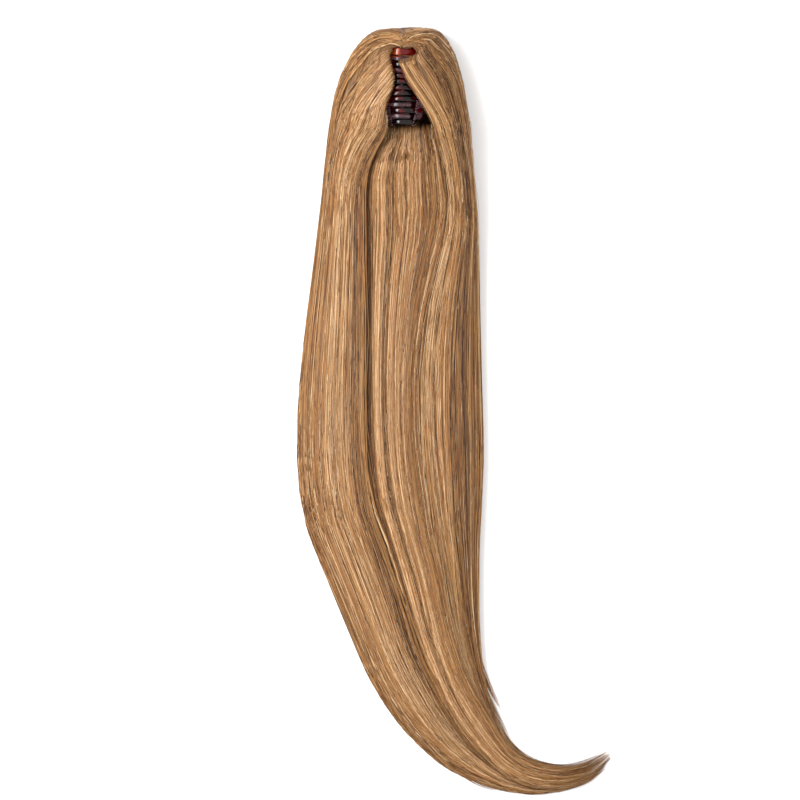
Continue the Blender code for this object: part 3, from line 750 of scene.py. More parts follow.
def turn_outwards(item):
    """Reverses a closed mesh whose signed volume, the sum of its corners' triple products, is negative."""
    mesh = item.data
    mesh.calc_loop_triangles()
    triangles = np.empty(len(mesh.loop_triangles) * 3, dtype=np.int32)
    mesh.loop_triangles.foreach_get("vertices", triangles)
    points = np.empty(len(mesh.vertices) * 3, dtype=np.float32)
    mesh.vertices.foreach_get("co", points)
    a, b, c = points.reshape(-1, 3)[triangles.reshape(-1, 3)].astype(float).transpose(1, 0, 2)
    if np.sum(a * np.cross(b, c)) < 0:
        mesh.flip_normals()


def side_base(side, name, node, last_row):
    """A side lock's body: its arch outside, and a lining that comes back to the wall's foot."""
    s = np.linspace(0, last_row, int(last_row * BASE_ROW_STEPS) + 1)
    t = np.linspace(0, 1, BASE_TOP_POINTS)
    arch = side_surface(side, *np.meshgrid(s, t, indexing="ij"))
    outer, inner, roof = side_feet(side, s)
    foot = rows_at(s)[:, SIDE_COLUMNS[side][2]][:, None]
    wall = outer + foot * (inner - outer)
    under = np.maximum(roof - ROOF_THICKNESS, roof / 2)
    angle = np.linspace(np.pi / 2, 0, BASE_LINING_POINTS)
    across = np.abs(np.cos(angle)) ** (2 / INNER_POWER)
    up = np.sin(angle) ** (2 / INNER_POWER)
    plan = inner[:, None] + across[None, :, None] * (wall - inner)[:, None]
    lining = raised(plan, under[:, None] * up) * MM
    shade = np.concatenate([t, 2 - np.linspace(1, 2, BASE_LINING_POINTS)])
    base_body(name, np.concatenate([arch, lining], axis=1), s, shade, 60, 37, 91, node)


def foot_line(rows, outer, inner, foot, side):
    """A side lock's inner feet in plan, moved in towards the middle hair by the seam."""
    start, end = rows[:, outer : outer + 2], rows[:, inner : inner + 2]
    line = start + rows[:, [foot]] * (end - start)
    along = unit(np.gradient(line, axis=0))
    return line + SEAM * side * np.column_stack([-along[:, 1], along[:, 0]])


def back_base(name, node, last_row):
    """The middle hair's body: a plate under the clip, then a mound between the side locks."""
    s = np.linspace(BACK_FIRST_ROW, last_row, int((last_row - BACK_FIRST_ROW) * BASE_ROW_STEPS) + 1)
    rows = rows_at(s)
    left = foot_line(rows, LOX, LIX, LFOOT, 1)
    right = foot_line(rows, ROX, RIX, RFOOT, -1)
    t = np.linspace(0, 1, BASE_TOP_POINTS)
    plan = left[:, None] + t[None, :, None] * (right - left)[:, None]
    top = raised(plan, mound(t, rows[:, [BACK]]))
    floor = plan[:, ::-1][:, :: BASE_TOP_POINTS // BASE_FLOOR_POINTS]
    floor = raised(floor, np.zeros(floor.shape[:2]))
    floor[:, 0, :2], floor[:, -1, :2] = right, left
    shade = np.concatenate([t, np.linspace(1, 0, floor.shape[1])])
    base_body(name, np.concatenate([top, floor], axis=1) * MM, s, shade, 50, 33, 83, node)


# Materials


class Finish:
    """A new material with its shader, and the nodes that the finishes share."""

    def __init__(self, name):
        self.material = bpy.data.materials.new(name)
        self.material.use_nodes = True
        self.nodes = self.material.node_tree.nodes
        self.shader = self.nodes["Principled BSDF"]

    def fill(self, node, inputs):
        """Links each socket into its input, and sets the other inputs to their numbers."""
        for key, value in inputs.items():
            if isinstance(value, bpy.types.NodeSocket):
                self.material.node_tree.links.new(value, node.inputs[key])
            else:
                node.inputs[key].default_value = value

    def add(self, kind, inputs=None, **settings):
        """The outputs of a new node with its own settings and inputs."""
        node = self.nodes.new("ShaderNode" + kind)
        for key, value in settings.items():
            setattr(node, key, value)
        self.fill(node, inputs or {})
        return node.outputs

    def place(self):
        """The place on the object, in metres."""
        return self.add("TexCoord")["Object"]

    def attribute(self, name):
        """The number that each point carries under a name."""
        return self.add("Attribute", attribute_name=name)["Fac"]

    def flow(self, across, along):
        """The flow map with a scale for each direction, in pattern units per metre."""
        source = self.add("UVMap", uv_map="flow")["UV"]
        return self.add("Mapping", {"Vector": source, "Scale": (across, along, 1)})["Vector"]

    def noise(self, vector, scale=1.0, detail=3.0, rough=0.5):
        """Soft noise from 0 to 1, with a scale in patches per metre."""
        inputs = {"Vector": vector, "Scale": scale, "Detail": detail, "Roughness": rough}
        return self.add("TexNoise", inputs)["Fac"]

    def spread(self, value, low, high, to_low, to_high):
        """A value carried straight from one range to another, and held at its ends."""
        ends = {"From Min": low, "From Max": high, "To Min": to_low, "To Max": to_high}
        return self.add("MapRange", {"Value": value, **ends})["Result"]

    def calculate(self, operation, a, b, clamp=False):
        """Two numbers added or multiplied."""
        return self.add("Math", {0: a, 1: b}, operation=operation, use_clamp=clamp)["Value"]

    def ramp(self, value, *stops):
        """A colour ramp through (place, colour) stops."""
        node = self.nodes.new("ShaderNodeValToRGB")
        self.fill(node, {"Fac": value})
        band = node.color_ramp.elements
        band.remove(band[1])
        band[0].position = stops[0][0]
        band[0].color = (*stops[0][1], 1.0)
        for place, colour in stops[1:]:
            band.new(place).color = (*colour, 1.0)
        return node.outputs["Color"]

    def darkened(self, colour, factor):
        """Colour times a number, by way of a grey."""
        inputs = {"Factor": 1.0, "A": colour, "B": factor}
        return self.add("Mix", inputs, data_type="RGBA", blend_type="MULTIPLY")["Result"]

    def bump(self, height, distance, strength=1.0):
        return self.add("Bump", {"Distance": distance, "Strength": strength, "Height": height})["Normal"]

    def shaded(self, inputs):
        """The material, with these inputs of its shader."""
        self.fill(self.shader, inputs)
        return self.material


def hair_finish(name, shade):
    """Hair: the strand's tone, shifted by fine streaks along it, picks a colour; shade below 1 darkens all
    of it as painted shade, and roots are darker with painted shade.
    """
    colours = bpy.context.scene.ponytail_colours
    hair = Finish(name)
    streak = hair.noise(hair.flow(1700, 9), detail=4.0)
    slow = hair.noise(hair.flow(260, 5), detail=2.0)
    shift = hair.calculate("ADD", hair.spread(streak, 0.3, 0.7, -0.14, 0.14), hair.attribute("tone"))
    shift = hair.calculate("ADD", hair.spread(slow, 0.3, 0.7, -0.12, 0.12), shift, True)
    colour = hair.ramp(
        shift,
        (0.0, colours.umber),
        (0.18, colours.brown),
        (0.42, colours.honey),
        (0.60, colours.gold),
        (0.68, colours.honey),
        (0.74, colours.copper),
        (0.82, colours.gold),
        (1.0, colours.beige),
    )
    # shade below 1 darkens the colour: painted shade for the bodies under the strands
    dark = hair.spread(streak, 0.25, 0.75, shade * 0.72, shade * 1.16)
    # Painted shade at the roots: the colour falls to 0.42 of itself where root is 1
    dark = hair.calculate("MULTIPLY", dark, hair.spread(hair.attribute("root"), 0, 1, 1.0, 0.42))
    rough = hair.spread(streak, 0.3, 0.7, colours.roughness - 0.07, colours.roughness + 0.1)
    return hair.shaded(
        {
            "Base Color": hair.darkened(colour, dark),
            "Roughness": rough,
            "Specular IOR Level": 0.22,
            "Normal": hair.bump(streak, 0.12 * MM, 0.5),
        }
    )


def shell_finish(name):
    """Moulded tortoiseshell: patches run from black over red to amber on soft noise, under a clear coat.
    The end finger is redder, its own patch, and its left is amber, a painted highlight where it faces the
    lamps.
    """
    clip = bpy.context.scene.ponytail_clip
    shell = Finish(name)
    place = shell.place()
    part = shell.add("SeparateXYZ", {"Vector": place})
    # The end finger's own redder patch, plus a painted highlight that turns its left, towards the lamps,
    # amber
    crown = shell.spread(part["Y"], 19 * MM, 21 * MM, 0.0, 1.0)
    left = shell.spread(part["X"], -5 * MM, 3 * MM, 0.38, 0.10)
    end_finger_patch_and_highlight = shell.calculate("MULTIPLY", crown, left)
    patches = shell.calculate("ADD", shell.noise(place, 70.0, 3.0, 0.55), end_finger_patch_and_highlight)
    stops = (0.50, clip.black), (0.62, clip.red), (0.74, clip.red), (0.84, clip.amber)
    return shell.shaded(
        {
            "Base Color": shell.ramp(patches, *stops),
            "Roughness": shell.spread(shell.noise(place, 900.0, 2.0), 0.3, 0.7, 0.14, 0.22),
            "Specular IOR Level": 0.1,
            "Coat Weight": 0.42,
            "Coat Roughness": 0.05,
        }
    )


def thread_finish(name):
    """Mauve thread: twisted yarn in its own mauve, with painted highlights and painted shade along its
    length, and a soft sheen.
    """
    mauve = bpy.context.scene.ponytail_clip.mauve
    thread = Finish(name)
    twist = thread.noise(thread.place(), 1400.0)
    # Light and deep ends of the ramp: painted highlight and painted shade on the yarn's twist
    light = tuple(min(1.0, v * 1.9 + 0.04) for v in mauve)
    painted_twist_shade = tuple(v * 0.45 for v in mauve)
    return thread.shaded(
        {
            "Base Color": thread.ramp(twist, (0.30, painted_twist_shade), (0.52, mauve), (0.72, light)),
            "Roughness": 0.72,
            "Sheen Weight": 0.15,
            "Sheen Roughness": 0.4,
            "Normal": thread.bump(twist, 0.1 * MM),
        }
    )


def steel_finish(name):
    """Drawn spring wire: fine marks in its colour, its roughness and its bump."""
    steel = bpy.context.scene.ponytail_clip.steel
    wire = Finish(name)
    marks = wire.noise(wire.place(), 2200.0, 2.0)
    dull = tuple(v * 0.7 for v in steel)
    return wire.shaded(
        {
            "Base Color": wire.ramp(marks, (0.3, dull), (0.7, steel)),
            "Roughness": wire.spread(marks, 0.3, 0.7, 0.2, 0.42),
            "Metallic": 1.0,
            "Normal": wire.bump(marks, 0.02 * MM),
        }
    )


def floor_finish(name):
    """Matt white paper with a trace of grain."""
    white = bpy.context.scene.ponytail_stage.floor
    paper = Finish(name)
    grain = paper.noise(paper.place(), 300.0)
    pale = tuple(min(1.0, v * 1.01) for v in white)
    colour = paper.ramp(grain, (0.3, white), (0.7, pale))
    return paper.shaded({"Base Color": colour, "Roughness": 0.9})


def shared(name, make, *values):
    """The material of that name, made the first time that it is asked for."""
    return bpy.data.materials.get(name) or make(name, *values)


def strand_finish():
    """The strands' material, at full light."""
    return shared("hair_strands", hair_finish, 1.0)


def base_finish():
    """The material of the bodies under the strands: the same, darkened to 0.62 as painted shade under the
    strands and in the gaps between them.
    """
    return shared("hair_under_layer_painted_shade", hair_finish, 0.62)


# Operators


JAW_STEPS = 6


def finger_centres(side):
    """Middles of a jaw's fingers, one pitch apart: the left jaw's lie between the right one's."""
    count = FINGERS if side > 0 else FINGERS - 1
    return CLIP_MIDDLE_Y + ((count - 1) / 2 - np.arange(count)) * FINGER_PITCH


def finger_half(past):
    """Half a finger's width, which falls evenly from its root, past = 0, to its tip, past = 1."""
    return (FINGER_ROOT + (FINGER_TIP - FINGER_ROOT) * past) / 2


def end_narrowing(y, risen=1.0):
    """How far a jaw is drawn in at y from its middle: one less a share of the squared distance."""
    return 1 - END_NARROWING * risen * (y / JAW_HALF_LENGTH) ** 2


def comb_grid(side):
    """A jaw's sheet: the profile carried along the hinge, split into fingers past the plate.

    Width is drawn in towards the ends by a square of the distance, and the handle tapers.
    """
    profile = through(JAW_PROFILE, JAW_STEPS)
    row = np.arange(len(profile))
    hinge_row, plate_end, last = HINGE_ROW * JAW_STEPS, PLATE_END_ROW * JAW_STEPS, len(profile) - 1
    centres = np.repeat(finger_centres(side), 2)
    edge = np.tile([1.0, -1.0], len(centres) // 2)
    if side < 0:
        end = FINGER_PITCH / 2 + FINGER_ROOT / 2
        centres = np.concatenate([[centres[0] + end], centres, [centres[-1] - end]])
        edge = np.concatenate([[0.0], edge, [0.0]])
    past = np.maximum(0, (row - plate_end) / (last - plate_end))[:, None]
    before = np.maximum(0, (hinge_row - row) / hinge_row)[:, None]
    risen = np.clip((row - hinge_row) / (plate_end - hinge_row), 0, 1)[:, None]
    along = (centres - CLIP_MIDDLE_Y + edge * finger_half(past)) * (1 - HANDLE_TAPER * before)
    narrow = end_narrowing(along, risen)
    if side > 0:
        end_finger = np.arange(len(centres)) < 2
        narrow = narrow + END_FINGER_REACH * past * (1 - narrow) * end_finger
        along[:, :1] += END_FINGER_WIDER * np.sqrt(past)
    x = side * profile[:, :1] * narrow
    z = np.broadcast_to(profile[:, 1:] + HINGE_Z, x.shape)
    points = np.stack([x, CLIP_MIDDLE_Y + along, z], axis=-1) * MM
    r, c = np.meshgrid(np.arange(last), np.arange(len(centres) - 1), indexing="ij")
    finger = (r < plate_end) | (edge[c] > 0)
    handle = (r >= hinge_row - JAW_STEPS // 2) | (np.abs(c + 1 - len(centres) / 2) < HANDLE_FINGERS)
    faces = grid_faces(len(profile), len(centres), False)[(finger & handle).ravel()][:, ::side]
    used, index = np.unique(faces, return_inverse=True)
    return points.reshape(-1, 3)[used], index.reshape(faces.shape)


def knuckle_mesh(side):
    """Two lugs on the pin: rings of rounded section, whose outside swells towards the jaw's plate by
    a high power of the cosine and so runs into it.
    """
    around, sections = 40, 10
    angle = full_turn(sections)
    middle, half = (KNUCKLE_RADIUS + BORE_RADIUS) / 2, (KNUCKLE_RADIUS - BORE_RADIUS) / 2
    radial = middle + half * signed_power(np.cos(angle), KNUCKLE_ROUNDING)
    axial = KNUCKLE_LENGTH / 2 * signed_power(np.sin(angle), KNUCKLE_ROUNDING)
    turn = full_turn(around)[:, None]
    swell = KNUCKLE_ARM * np.maximum(side * np.cos(turn), 0) ** 6
    radial = radial + swell * (radial - BORE_RADIUS) / (KNUCKLE_RADIUS - BORE_RADIUS)
    across, up = np.cos(turn) * radial, HINGE_Z + np.sin(turn) * radial
    places = (KNUCKLE_Y[side], -KNUCKLE_Y[side])
    lugs = [np.stack([across, y + axial + 0 * turn, up], axis=-1) for y in places]
    ring = closed_rings(around, sections)
    return np.concatenate(lugs).reshape(-1, 3) * MM, np.concatenate([ring, ring + around * sections])


class PONYTAIL_OT_stage(bpy.types.Operator):
    """Make the floor, the lights and the camera"""

    bl_idname = "ponytail.stage"
    bl_label = "Stage"

    def execute(self, context):
        stage = context.scene.ponytail_stage
        half = stage.floor_size / 2
        corners = [(-half, -half, 0), (half, -half, 0), (half, half, 0), (-half, half, 0)]
        mesh = bpy.data.meshes.new("floor")
        mesh.from_pydata(corners, [], [(0, 1, 2, 3)])
        mesh.materials.append(shared("floor_paper", floor_finish))
        floor = bpy.data.objects.new("floor", mesh)
        context.scene.collection.objects.link(floor)
        add_lights(context, stage)
        add_camera(context, stage)
        context.scene.view_settings.view_transform = "Standard"
        return {"FINISHED"}


def photo_centre():
    """The point on the floor in the middle of the photograph."""
    middle = PHOTO_SIZE / 2
    return (middle - ORIGIN_PIXEL[0]) * PIXEL, (ORIGIN_PIXEL[1] - middle) * PIXEL


def add_camera(context, stage):
    """A long lens straight over the floor, which takes in the photograph's width."""
    data = bpy.data.cameras.new("camera")
    x, y = photo_centre()
    data.lens = data.sensor_width * stage.camera_height / (PHOTO_SIZE * PIXEL)
    data.clip_end = 3 * stage.camera_height
    camera = bpy.data.objects.new("camera", data)
    camera.location = (x, y, stage.camera_height)
    context.scene.collection.objects.link(camera)
    context.scene.camera = camera


def add_lights(context, stage):
    """An even white sky, a wide soft light high at the upper left, and a long one beside the crown."""
    world = bpy.data.worlds.new("studio")
    world.use_nodes = True
    sky = world.node_tree.nodes["Background"]
    sky.inputs["Color"].default_value = (1.0, 1.0, 1.0, 1.0)
    sky.inputs["Strength"].default_value = stage.fill_power
    context.scene.world = world
    x, y = photo_centre()
    # Name, place, target and size in metres, and power
    for light in (
        ("key", (x - 0.85, y + 0.30, 1.75), (x, y, 0), (0.9, 0.9), stage.key_power),
        ("strip", (x - 0.62, 0.03, 1.5), (x, 0, 0.05), (0.9, 0.26), stage.strip_power),
    ):
        soft_light(context, *light)


def soft_light(context, name, place, target, size, power):
    """A rectangular area light that faces its target."""
    data = bpy.data.lights.new(name, "AREA")
    data.shape = "RECTANGLE"
    data.size, data.size_y = size
    data.energy = power
    light = bpy.data.objects.new(name, data)
    light.location = place
    heading = Vector(target) - light.location
    light.rotation_euler = heading.to_track_quat("-Z", "Y").to_euler()
    context.scene.collection.objects.link(light)


class PONYTAIL_OT_hair_bodies(bpy.types.Operator):
    """Make the bodies under the strands, which stand for the three hair solids"""

    bl_idname = "ponytail.hair_bodies"
    bl_label = "Hair bodies"

    def execute(self, context):
        side_base(-1, "left_lock_body", "hair_left", 27.0)
        side_base(1, "right_lock_body", "hair_right", 25.0)
        back_base("back_fall_body", "hair_back", 27.6)
        return {"FINISHED"}


# Side locks: side, name, rows that strands end between, and share of the number of strands
SIDE_LOCKS = ((-1, "left_lock", (23.5, 29.0), 1.0), (1, "right_lock", (20.0, 28.0), 0.7))
BACK_END_ROWS = (25.0, 29.0)
BACK_CLUMPS = 150


class PONYTAIL_OT_side_locks(bpy.types.Operator):
    """Lay the strands of the left and the right lock in layers"""

    bl_idname = "ponytail.side_locks"
    bl_label = "Side locks"

    def execute(self, context):
        hair = context.scene.ponytail_hair
        fine = hair.strand_width
        for side, lock, rows, share in SIDE_LOCKS:
            random = np.random.default_rng(hair.seed + side)
            ribbons, strands = int(hair.side_ribbons * share), int(hair.side_strands * share)
            # Name, strands, clumps, spread and lift in millimetres, width, sides and stations
            layers = (
                ("ribbons", ribbons, ribbons, 0.0, 0.3, hair.ribbon_width, 6, 28),
                ("under_strands", int(strands * 0.34), int(strands * 0.12), 1.4, 0.3, fine * 1.5, 3, 24),
                ("top_strands", strands, int(strands * 0.36), 0.6, 0.7, fine, 3, 31),
            )
            for name, count, clumps, spread, lift, *form in layers:
                layer = f"{lock}_{name}"
                side_strands(layer, side, count, clumps, spread * MM, lift * MM, rows, *form, random)
        return {"FINISHED"}


# Path of the hair that passes under the end finger, in millimetres: x is added to each strand's own
UNDER_FINGER = np.array(
    [
        (1.0, 31.0, 52.0),
        (0.6, 28.6, 55.2),
        (0.0, 26.6, 52.6),
        (0.0, 24.6, 50.8),
        (0.0, 22.2, 51.0),
        (0.0, 18.9, 54.4),
        (0.0, 18.3, 59.6),
        (0.0, 17.6, 63.2),
        (0.0, 17.0, 64.6),
    ]
)
UNDER_FINGER_X = (-2.6, 8.6)
UNDER_FINGER_CLOSING = 0.45
UNDER_FINGER_CHANCE = 0.25
# Past the finger, from this point on, the hair rises on a slant and moves over towards the roof
UNDER_FINGER_RISE = 5
UNDER_FINGER_SLANT = 0.2
SLANT_MIDDLE = 0.6
TOWARDS_ROOF = (0.08, 0.22, 0.42, 0.68)
# On the lock: the row that it comes in at, the rows of its turn and the last of its places
UNDER_FINGER_ROW = 3.7
CLAMPED_TURN = 5.0
CLAMPED_SPAN = 0.26
CLAMPED_LAST = 0.992
LOCK_SPOTS = 130


class PONYTAIL_OT_clamped_lock(bpy.types.Operator):
    """Lay the lock that the end finger clamps: it comes out under the finger and falls to the right"""

    bl_idname = "ponytail.clamped_lock"
    bl_label = "Clamped lock"

    def execute(self, context):
        hair = context.scene.ponytail_hair
        random = np.random.default_rng(hair.seed + 9)
        surface = partial(side_surface, 1)
        count, falling = 440, 26
        place = even_places(count, random)
        low, high = UNDER_FINGER_X
        own_x = (low + (high - low) * place) * MM
        hand = np.broadcast_to(UNDER_FINGER * MM, (count, *UNDER_FINGER.shape)).copy()
        hand[..., 0] += own_x[:, None] * np.linspace(UNDER_FINGER_CLOSING, 1.0, len(UNDER_FINGER))
        hand[:, UNDER_FINGER_RISE:, 1] += UNDER_FINGER_SLANT * (own_x[:, None] + SLANT_MIDDLE * MM)
        hand += random.normal(0, UNDER_FINGER_CHANCE * MM, (count, 1, 3))
        end = random.uniform(19, 27, count)
        share = np.linspace(0, 1, falling)
        s = UNDER_FINGER_ROW + (end - UNDER_FINGER_ROW)[:, None] * share**1.5
        aim = CLAMPED_LAST - (CLAMPED_LAST - CLAMPED_AIM) * place**1.1
        t = lane(s, UNDER_FINGER_ROW, aim[:, None], CLAMPED_TURN, (CLAMPED_SPAN * place)[:, None])
        stray = strays(count, random) * share
        stray = stray + 0.6 * MM * np.sin(0.7 * s + random.uniform(0, 6, (count, 1)))
        t = np.clip(t + stray * np.clip(3 * share, 0, 1) / surface_width(surface, s), 0.1, 1.004)
        lift = random.uniform(0.4, 1.5, (count, 1)) * MM
        points, normals = lay(surface, s, t, lift)
        points[..., 2] = np.maximum(points[..., 2], FLOOR_GAP)
        rising = hand[:, UNDER_FINGER_RISE:, :2]
        rising += np.array(TOWARDS_ROOF)[None, :, None] * (points[:, :1, :2] - rising)
        points = np.concatenate([hand, points], axis=1)
        normals = np.concatenate([np.broadcast_to((0.0, 0.0, 1.0), hand.shape), normals], axis=1)
        width = tapered(hair.strand_width, (0.8, 1.3), count, points.shape[1], 0.2, random)
        spots, member = np.unique(np.round(aim * LOCK_SPOTS) / LOCK_SPOTS, return_inverse=True)
        tone = tones(spots, 1, random)[member] + random.normal(0.08, STRAND_TONES * 1.15, count)
        strand_piece("clamped_lock_strands", points, normals, width, tone, random)
        return {"FINISHED"}


# Loose lock tips, as on the solids, in millimetres: start, end, bend to the left, width, height
LOCK_TIPS = (
    (35.5, -463.5, 68.5, -485.0, -3.0, 11.0, 7.0),
    (62.0, -476.5, 104.0, -486.5, -3.0, 8.0, 5.0),
    (50.0, -384.0, 71.0, -433.0, -2.0, 5.0, 7.0),
    (55.0, -412.0, 74.0, -447.0, -0.5, 6.0, 6.0),
    (112.0, -474.5, 146.0, -457.0, -2.0, 6.0, 5.0),
    (118.0, -478.0, 142.5, -467.0, -2.0, 6.0, 4.0),
)


class PONYTAIL_OT_loose_ends(bpy.types.Operator):
    """Make the loose lock tips, the ragged end of the tail and the flyaway hairs"""

    bl_idname = "ponytail.loose_ends"
    bl_label = "Loose ends"

    def execute(self, context):
        hair = context.scene.ponytail_hair
        random = np.random.default_rng(hair.seed + 21)
        lock_tip_strands(hair, random)
        tail_wisps(hair, random)
        flyaway_strands(hair, random)
        return {"FINISHED"}


def lock_tip_strands(hair, random):
    """Strands along each loose tip: a bent line from start to end, with places across that close up
    towards the end by the square root of what is left.
    """
    each, along = 22, 16
    tips = np.repeat(np.array(LOCK_TIPS), each, axis=0) * MM
    count = len(tips)
    u = np.linspace(-0.35, 1, along)[None] * random.uniform(0.82, 1.0, (count, 1))
    start, run = tips[:, None, 0:2], (tips[:, None, 2:4] - tips[:, None, 0:2])
    aside = unit(np.stack([-run[..., 1], run[..., 0]], axis=-1))
    bend, wide, tall = (tips[:, k, None] for k in (4, 5, 6))
    place = random.uniform(-1, 1, (count, 1))
    left = np.sqrt(np.clip(1 - u, 0.0, 1))
    offset = 4 * u * (1 - u) * bend + place * wide / 2 * left * 0.9
    plan = start + u[..., None] * run + offset[..., None] * aside
    height = tall * left * np.sqrt(1 - 0.8 * place**2) * 0.9 + 0.4 * MM
    points = raised(plan, height)
    normals = np.broadcast_to((0.0, 0.0, 1.0), points.shape)
    width = tapered(hair.strand_width, (0.7, 1.2), count, along, 0.5, random)
    strand_piece("lock_tip_strands", points, normals, width, random.normal(0.45, 0.22, count), random)


TAIL_FIRST_ROW = 23.5
TAIL_HEADING = np.array((0.80, 0.60, 0.0))
TAIL_ROW_LENGTH = 16


def tail_wisps(hair, random):
    """Strands of the tail's end: they run on past the last row for a few millimetres and spread."""
    count, along = 420, 16
    end = random.uniform(25.5, LAST_ROW + 0.1, count) + random.uniform(0, 0.95, count) ** 3
    s = TAIL_FIRST_ROW + (end - TAIL_FIRST_ROW)[:, None] * np.linspace(0, 1, along)
    place = random.uniform(0, 1, count)[:, None]
    spread = 1 + 0.9 * np.clip(s - 27.5, 0, 2) * random.random((count, 1))
    t = 0.5 + (place - 0.5) * spread
    lift = random.uniform(-3.5, 0.9, (count, 1)) * MM
    points, normals = lay(back_surface, np.minimum(s, LAST_ROW), t, lift)
    points += np.maximum(s - LAST_ROW, 0)[..., None] * TAIL_ROW_LENGTH * MM * TAIL_HEADING
    points[..., 2] = np.maximum(points[..., 2], FLOOR_GAP)
    width = tapered(hair.strand_width, (0.6, 1.1), count, along, 0.4, random)
    strand_piece("tail_wisps", points, normals, width, random.normal(0.5, 0.22, count), random)


def flyaway_strands(hair, random):
    """Single hairs that stand off the side locks by a squared sine along their length."""
    count, along = hair.flyaways, 14
    gone = np.linspace(0, 1, along)
    rise = np.sin(np.linspace(0.1, 0.85, along) * np.pi) ** 2
    for side, name in ((-1, "left"), (1, "right")):
        begin = random.uniform(1.8, 21, count)
        s = begin[:, None] + random.uniform(1.0, 5.0, (count, 1)) * gone
        t = random.uniform(0.12, 0.75, (count, 1)) + random.normal(0, 0.03, (count, 1)) * gone
        lift = random.uniform(0.8, 2.6, (count, 1)) * MM * rise
        surface = partial(side_surface, side)
        points, normals = lay(surface, np.clip(s, 0, LAST_ROW), np.clip(t, 0.02, 1), lift)
        width = tapered(FLYAWAY_WIDTH, (0.7, 1.3), count, along, 0.5, random)
        tone = random.normal(0.6, 0.2, count)
        strand_piece(name + "_flyaways", points, normals, width, tone, random)


class PONYTAIL_OT_back_fall(bpy.types.Operator):
    """Lay the strands of the middle hair, from the weft to the tail"""

    bl_idname = "ponytail.back_fall"
    bl_label = "Back fall"

    def execute(self, context):
        hair = context.scene.ponytail_hair
        random = np.random.default_rng(hair.seed + 5)
        ribbons, rows = hair.back_ribbons, BACK_END_ROWS
        back_strands(
            "back_fall_ribbons", ribbons, ribbons, 0.0, 0.0, rows, hair.ribbon_width, 6, 24, random
        )
        back_strands(
            "back_fall_strands", hair.back_strands, BACK_CLUMPS, 1.1 * MM, 0.5 * MM,
            rows, hair.strand_width, 3, 26, random,
        )
        return {"FINISHED"}


class PONYTAIL_OT_claw_jaws(bpy.types.Operator):
    """Make the two jaws of the claw clip with rounded, moulded edges"""

    bl_idname = "ponytail.claw_jaws"
    bl_label = "Claw jaws"

    def execute(self, context):
        clip = context.scene.ponytail_clip
        finish = shared("moulded_tortoiseshell", shell_finish)
        for side, name, body in ((-1, "left", FIXED_BODY), (1, "right", MOVING_BODY)):
            points, faces = comb_grid(side)
            jaw = new_piece(f"{name}_jaw_shell", points, [faces], [finish], body)
            wall = jaw.modifiers.new("wall", "SOLIDIFY")
            wall.thickness = SHELL * MM
            wall.offset = 0.0
            wall.use_even_offset = True
            soft = jaw.modifiers.new("edges", "BEVEL")
            soft.width = clip.edge_radius
            soft.segments = 3
            soft.limit_method = "ANGLE"
            soft.angle_limit = math.radians(50)
            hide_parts(f"claw_{name}_jaw")
            points, faces = knuckle_mesh(side)
            lugs = new_piece(f"{name}_jaw_knuckles", points, [faces], [finish], body)
            turn_outwards(lugs)
        return {"FINISHED"}


def jaw_line(side, places, steps=12):
    """Profile points and outward normals at places along it, counted in table points."""
    line = through(JAW_PROFILE, steps)
    index = np.linspace(0, len(JAW_PROFILE) - 1, len(line))
    across = np.interp(places, index, line[:, 0])
    up = np.interp(places, index, line[:, 1])
    slope = np.gradient(line, axis=0)
    tangent = unit(np.stack([np.interp(places, index, slope[:, k]) for k in (0, 1)], axis=-1))
    return side * across, up + HINGE_Z, side * tangent[..., 1], -tangent[..., 0]


THREADED_FINGERS = (0, 1, 4, 5)
THREAD_FIRST = 6.2
THREAD_RUN = 3.3
THREAD_GAP = 0.12


def wound_thread(clip, finish):
    """Sewing thread wound round the fixed jaw's fingers: a helix round each finger's middle line."""
    centres = finger_centres(-1)[list(THREADED_FINGERS)]
    turns, each = 34, 8
    v = np.linspace(0, 1, turns * each)
    places = THREAD_FIRST + THREAD_RUN * v
    x, z, nx, nz = jaw_line(-1, places)
    narrow = end_narrowing(centres - CLIP_MIDDLE_Y)[:, None]
    past = np.clip((places - PLATE_END_ROW) / (len(JAW_PROFILE) - 1 - PLATE_END_ROW), 0, 1)
    half = finger_half(past) + THREAD_GAP
    angle = 2 * np.pi * turns * v
    rise = (SHELL / 2 + THREAD_GAP) * np.sin(angle)
    height = np.broadcast_to(z + rise * nz, (len(centres), len(v)))
    path = np.stack([x * narrow + rise * nx, centres[:, None] + half * np.cos(angle), height], axis=-1) * MM
    normals = np.stack([nx * np.sin(angle), np.cos(angle), nz * np.sin(angle)], axis=-1)
    width = np.full(path.shape[:2], clip.yarn_width * 0.8)
    points, faces, _, _ = tubes(path, np.broadcast_to(normals, path.shape), width, width, 4)
    return new_piece("finger_thread", points, faces, [finish])


NET_SEED = 3
NET_LEAN = 5.0
NET_PAST_END = 1.5
# Netting's own profile, in millimetres: across from the hinge and up from it, from its free edge
NET_PROFILE = {
    1: np.array([(18.4, 19.9), (17.7, 22.0), (17.0, 24.2), (15.3, 27.2), (12.9, 30.0), (10.6, 32.0)]),
    -1: np.array([(18.6, 20.0), (18.0, 22.6), (17.0, 25.0), (15.0, 28.0), (12.4, 30.6), (9.6, 32.6)]),
}


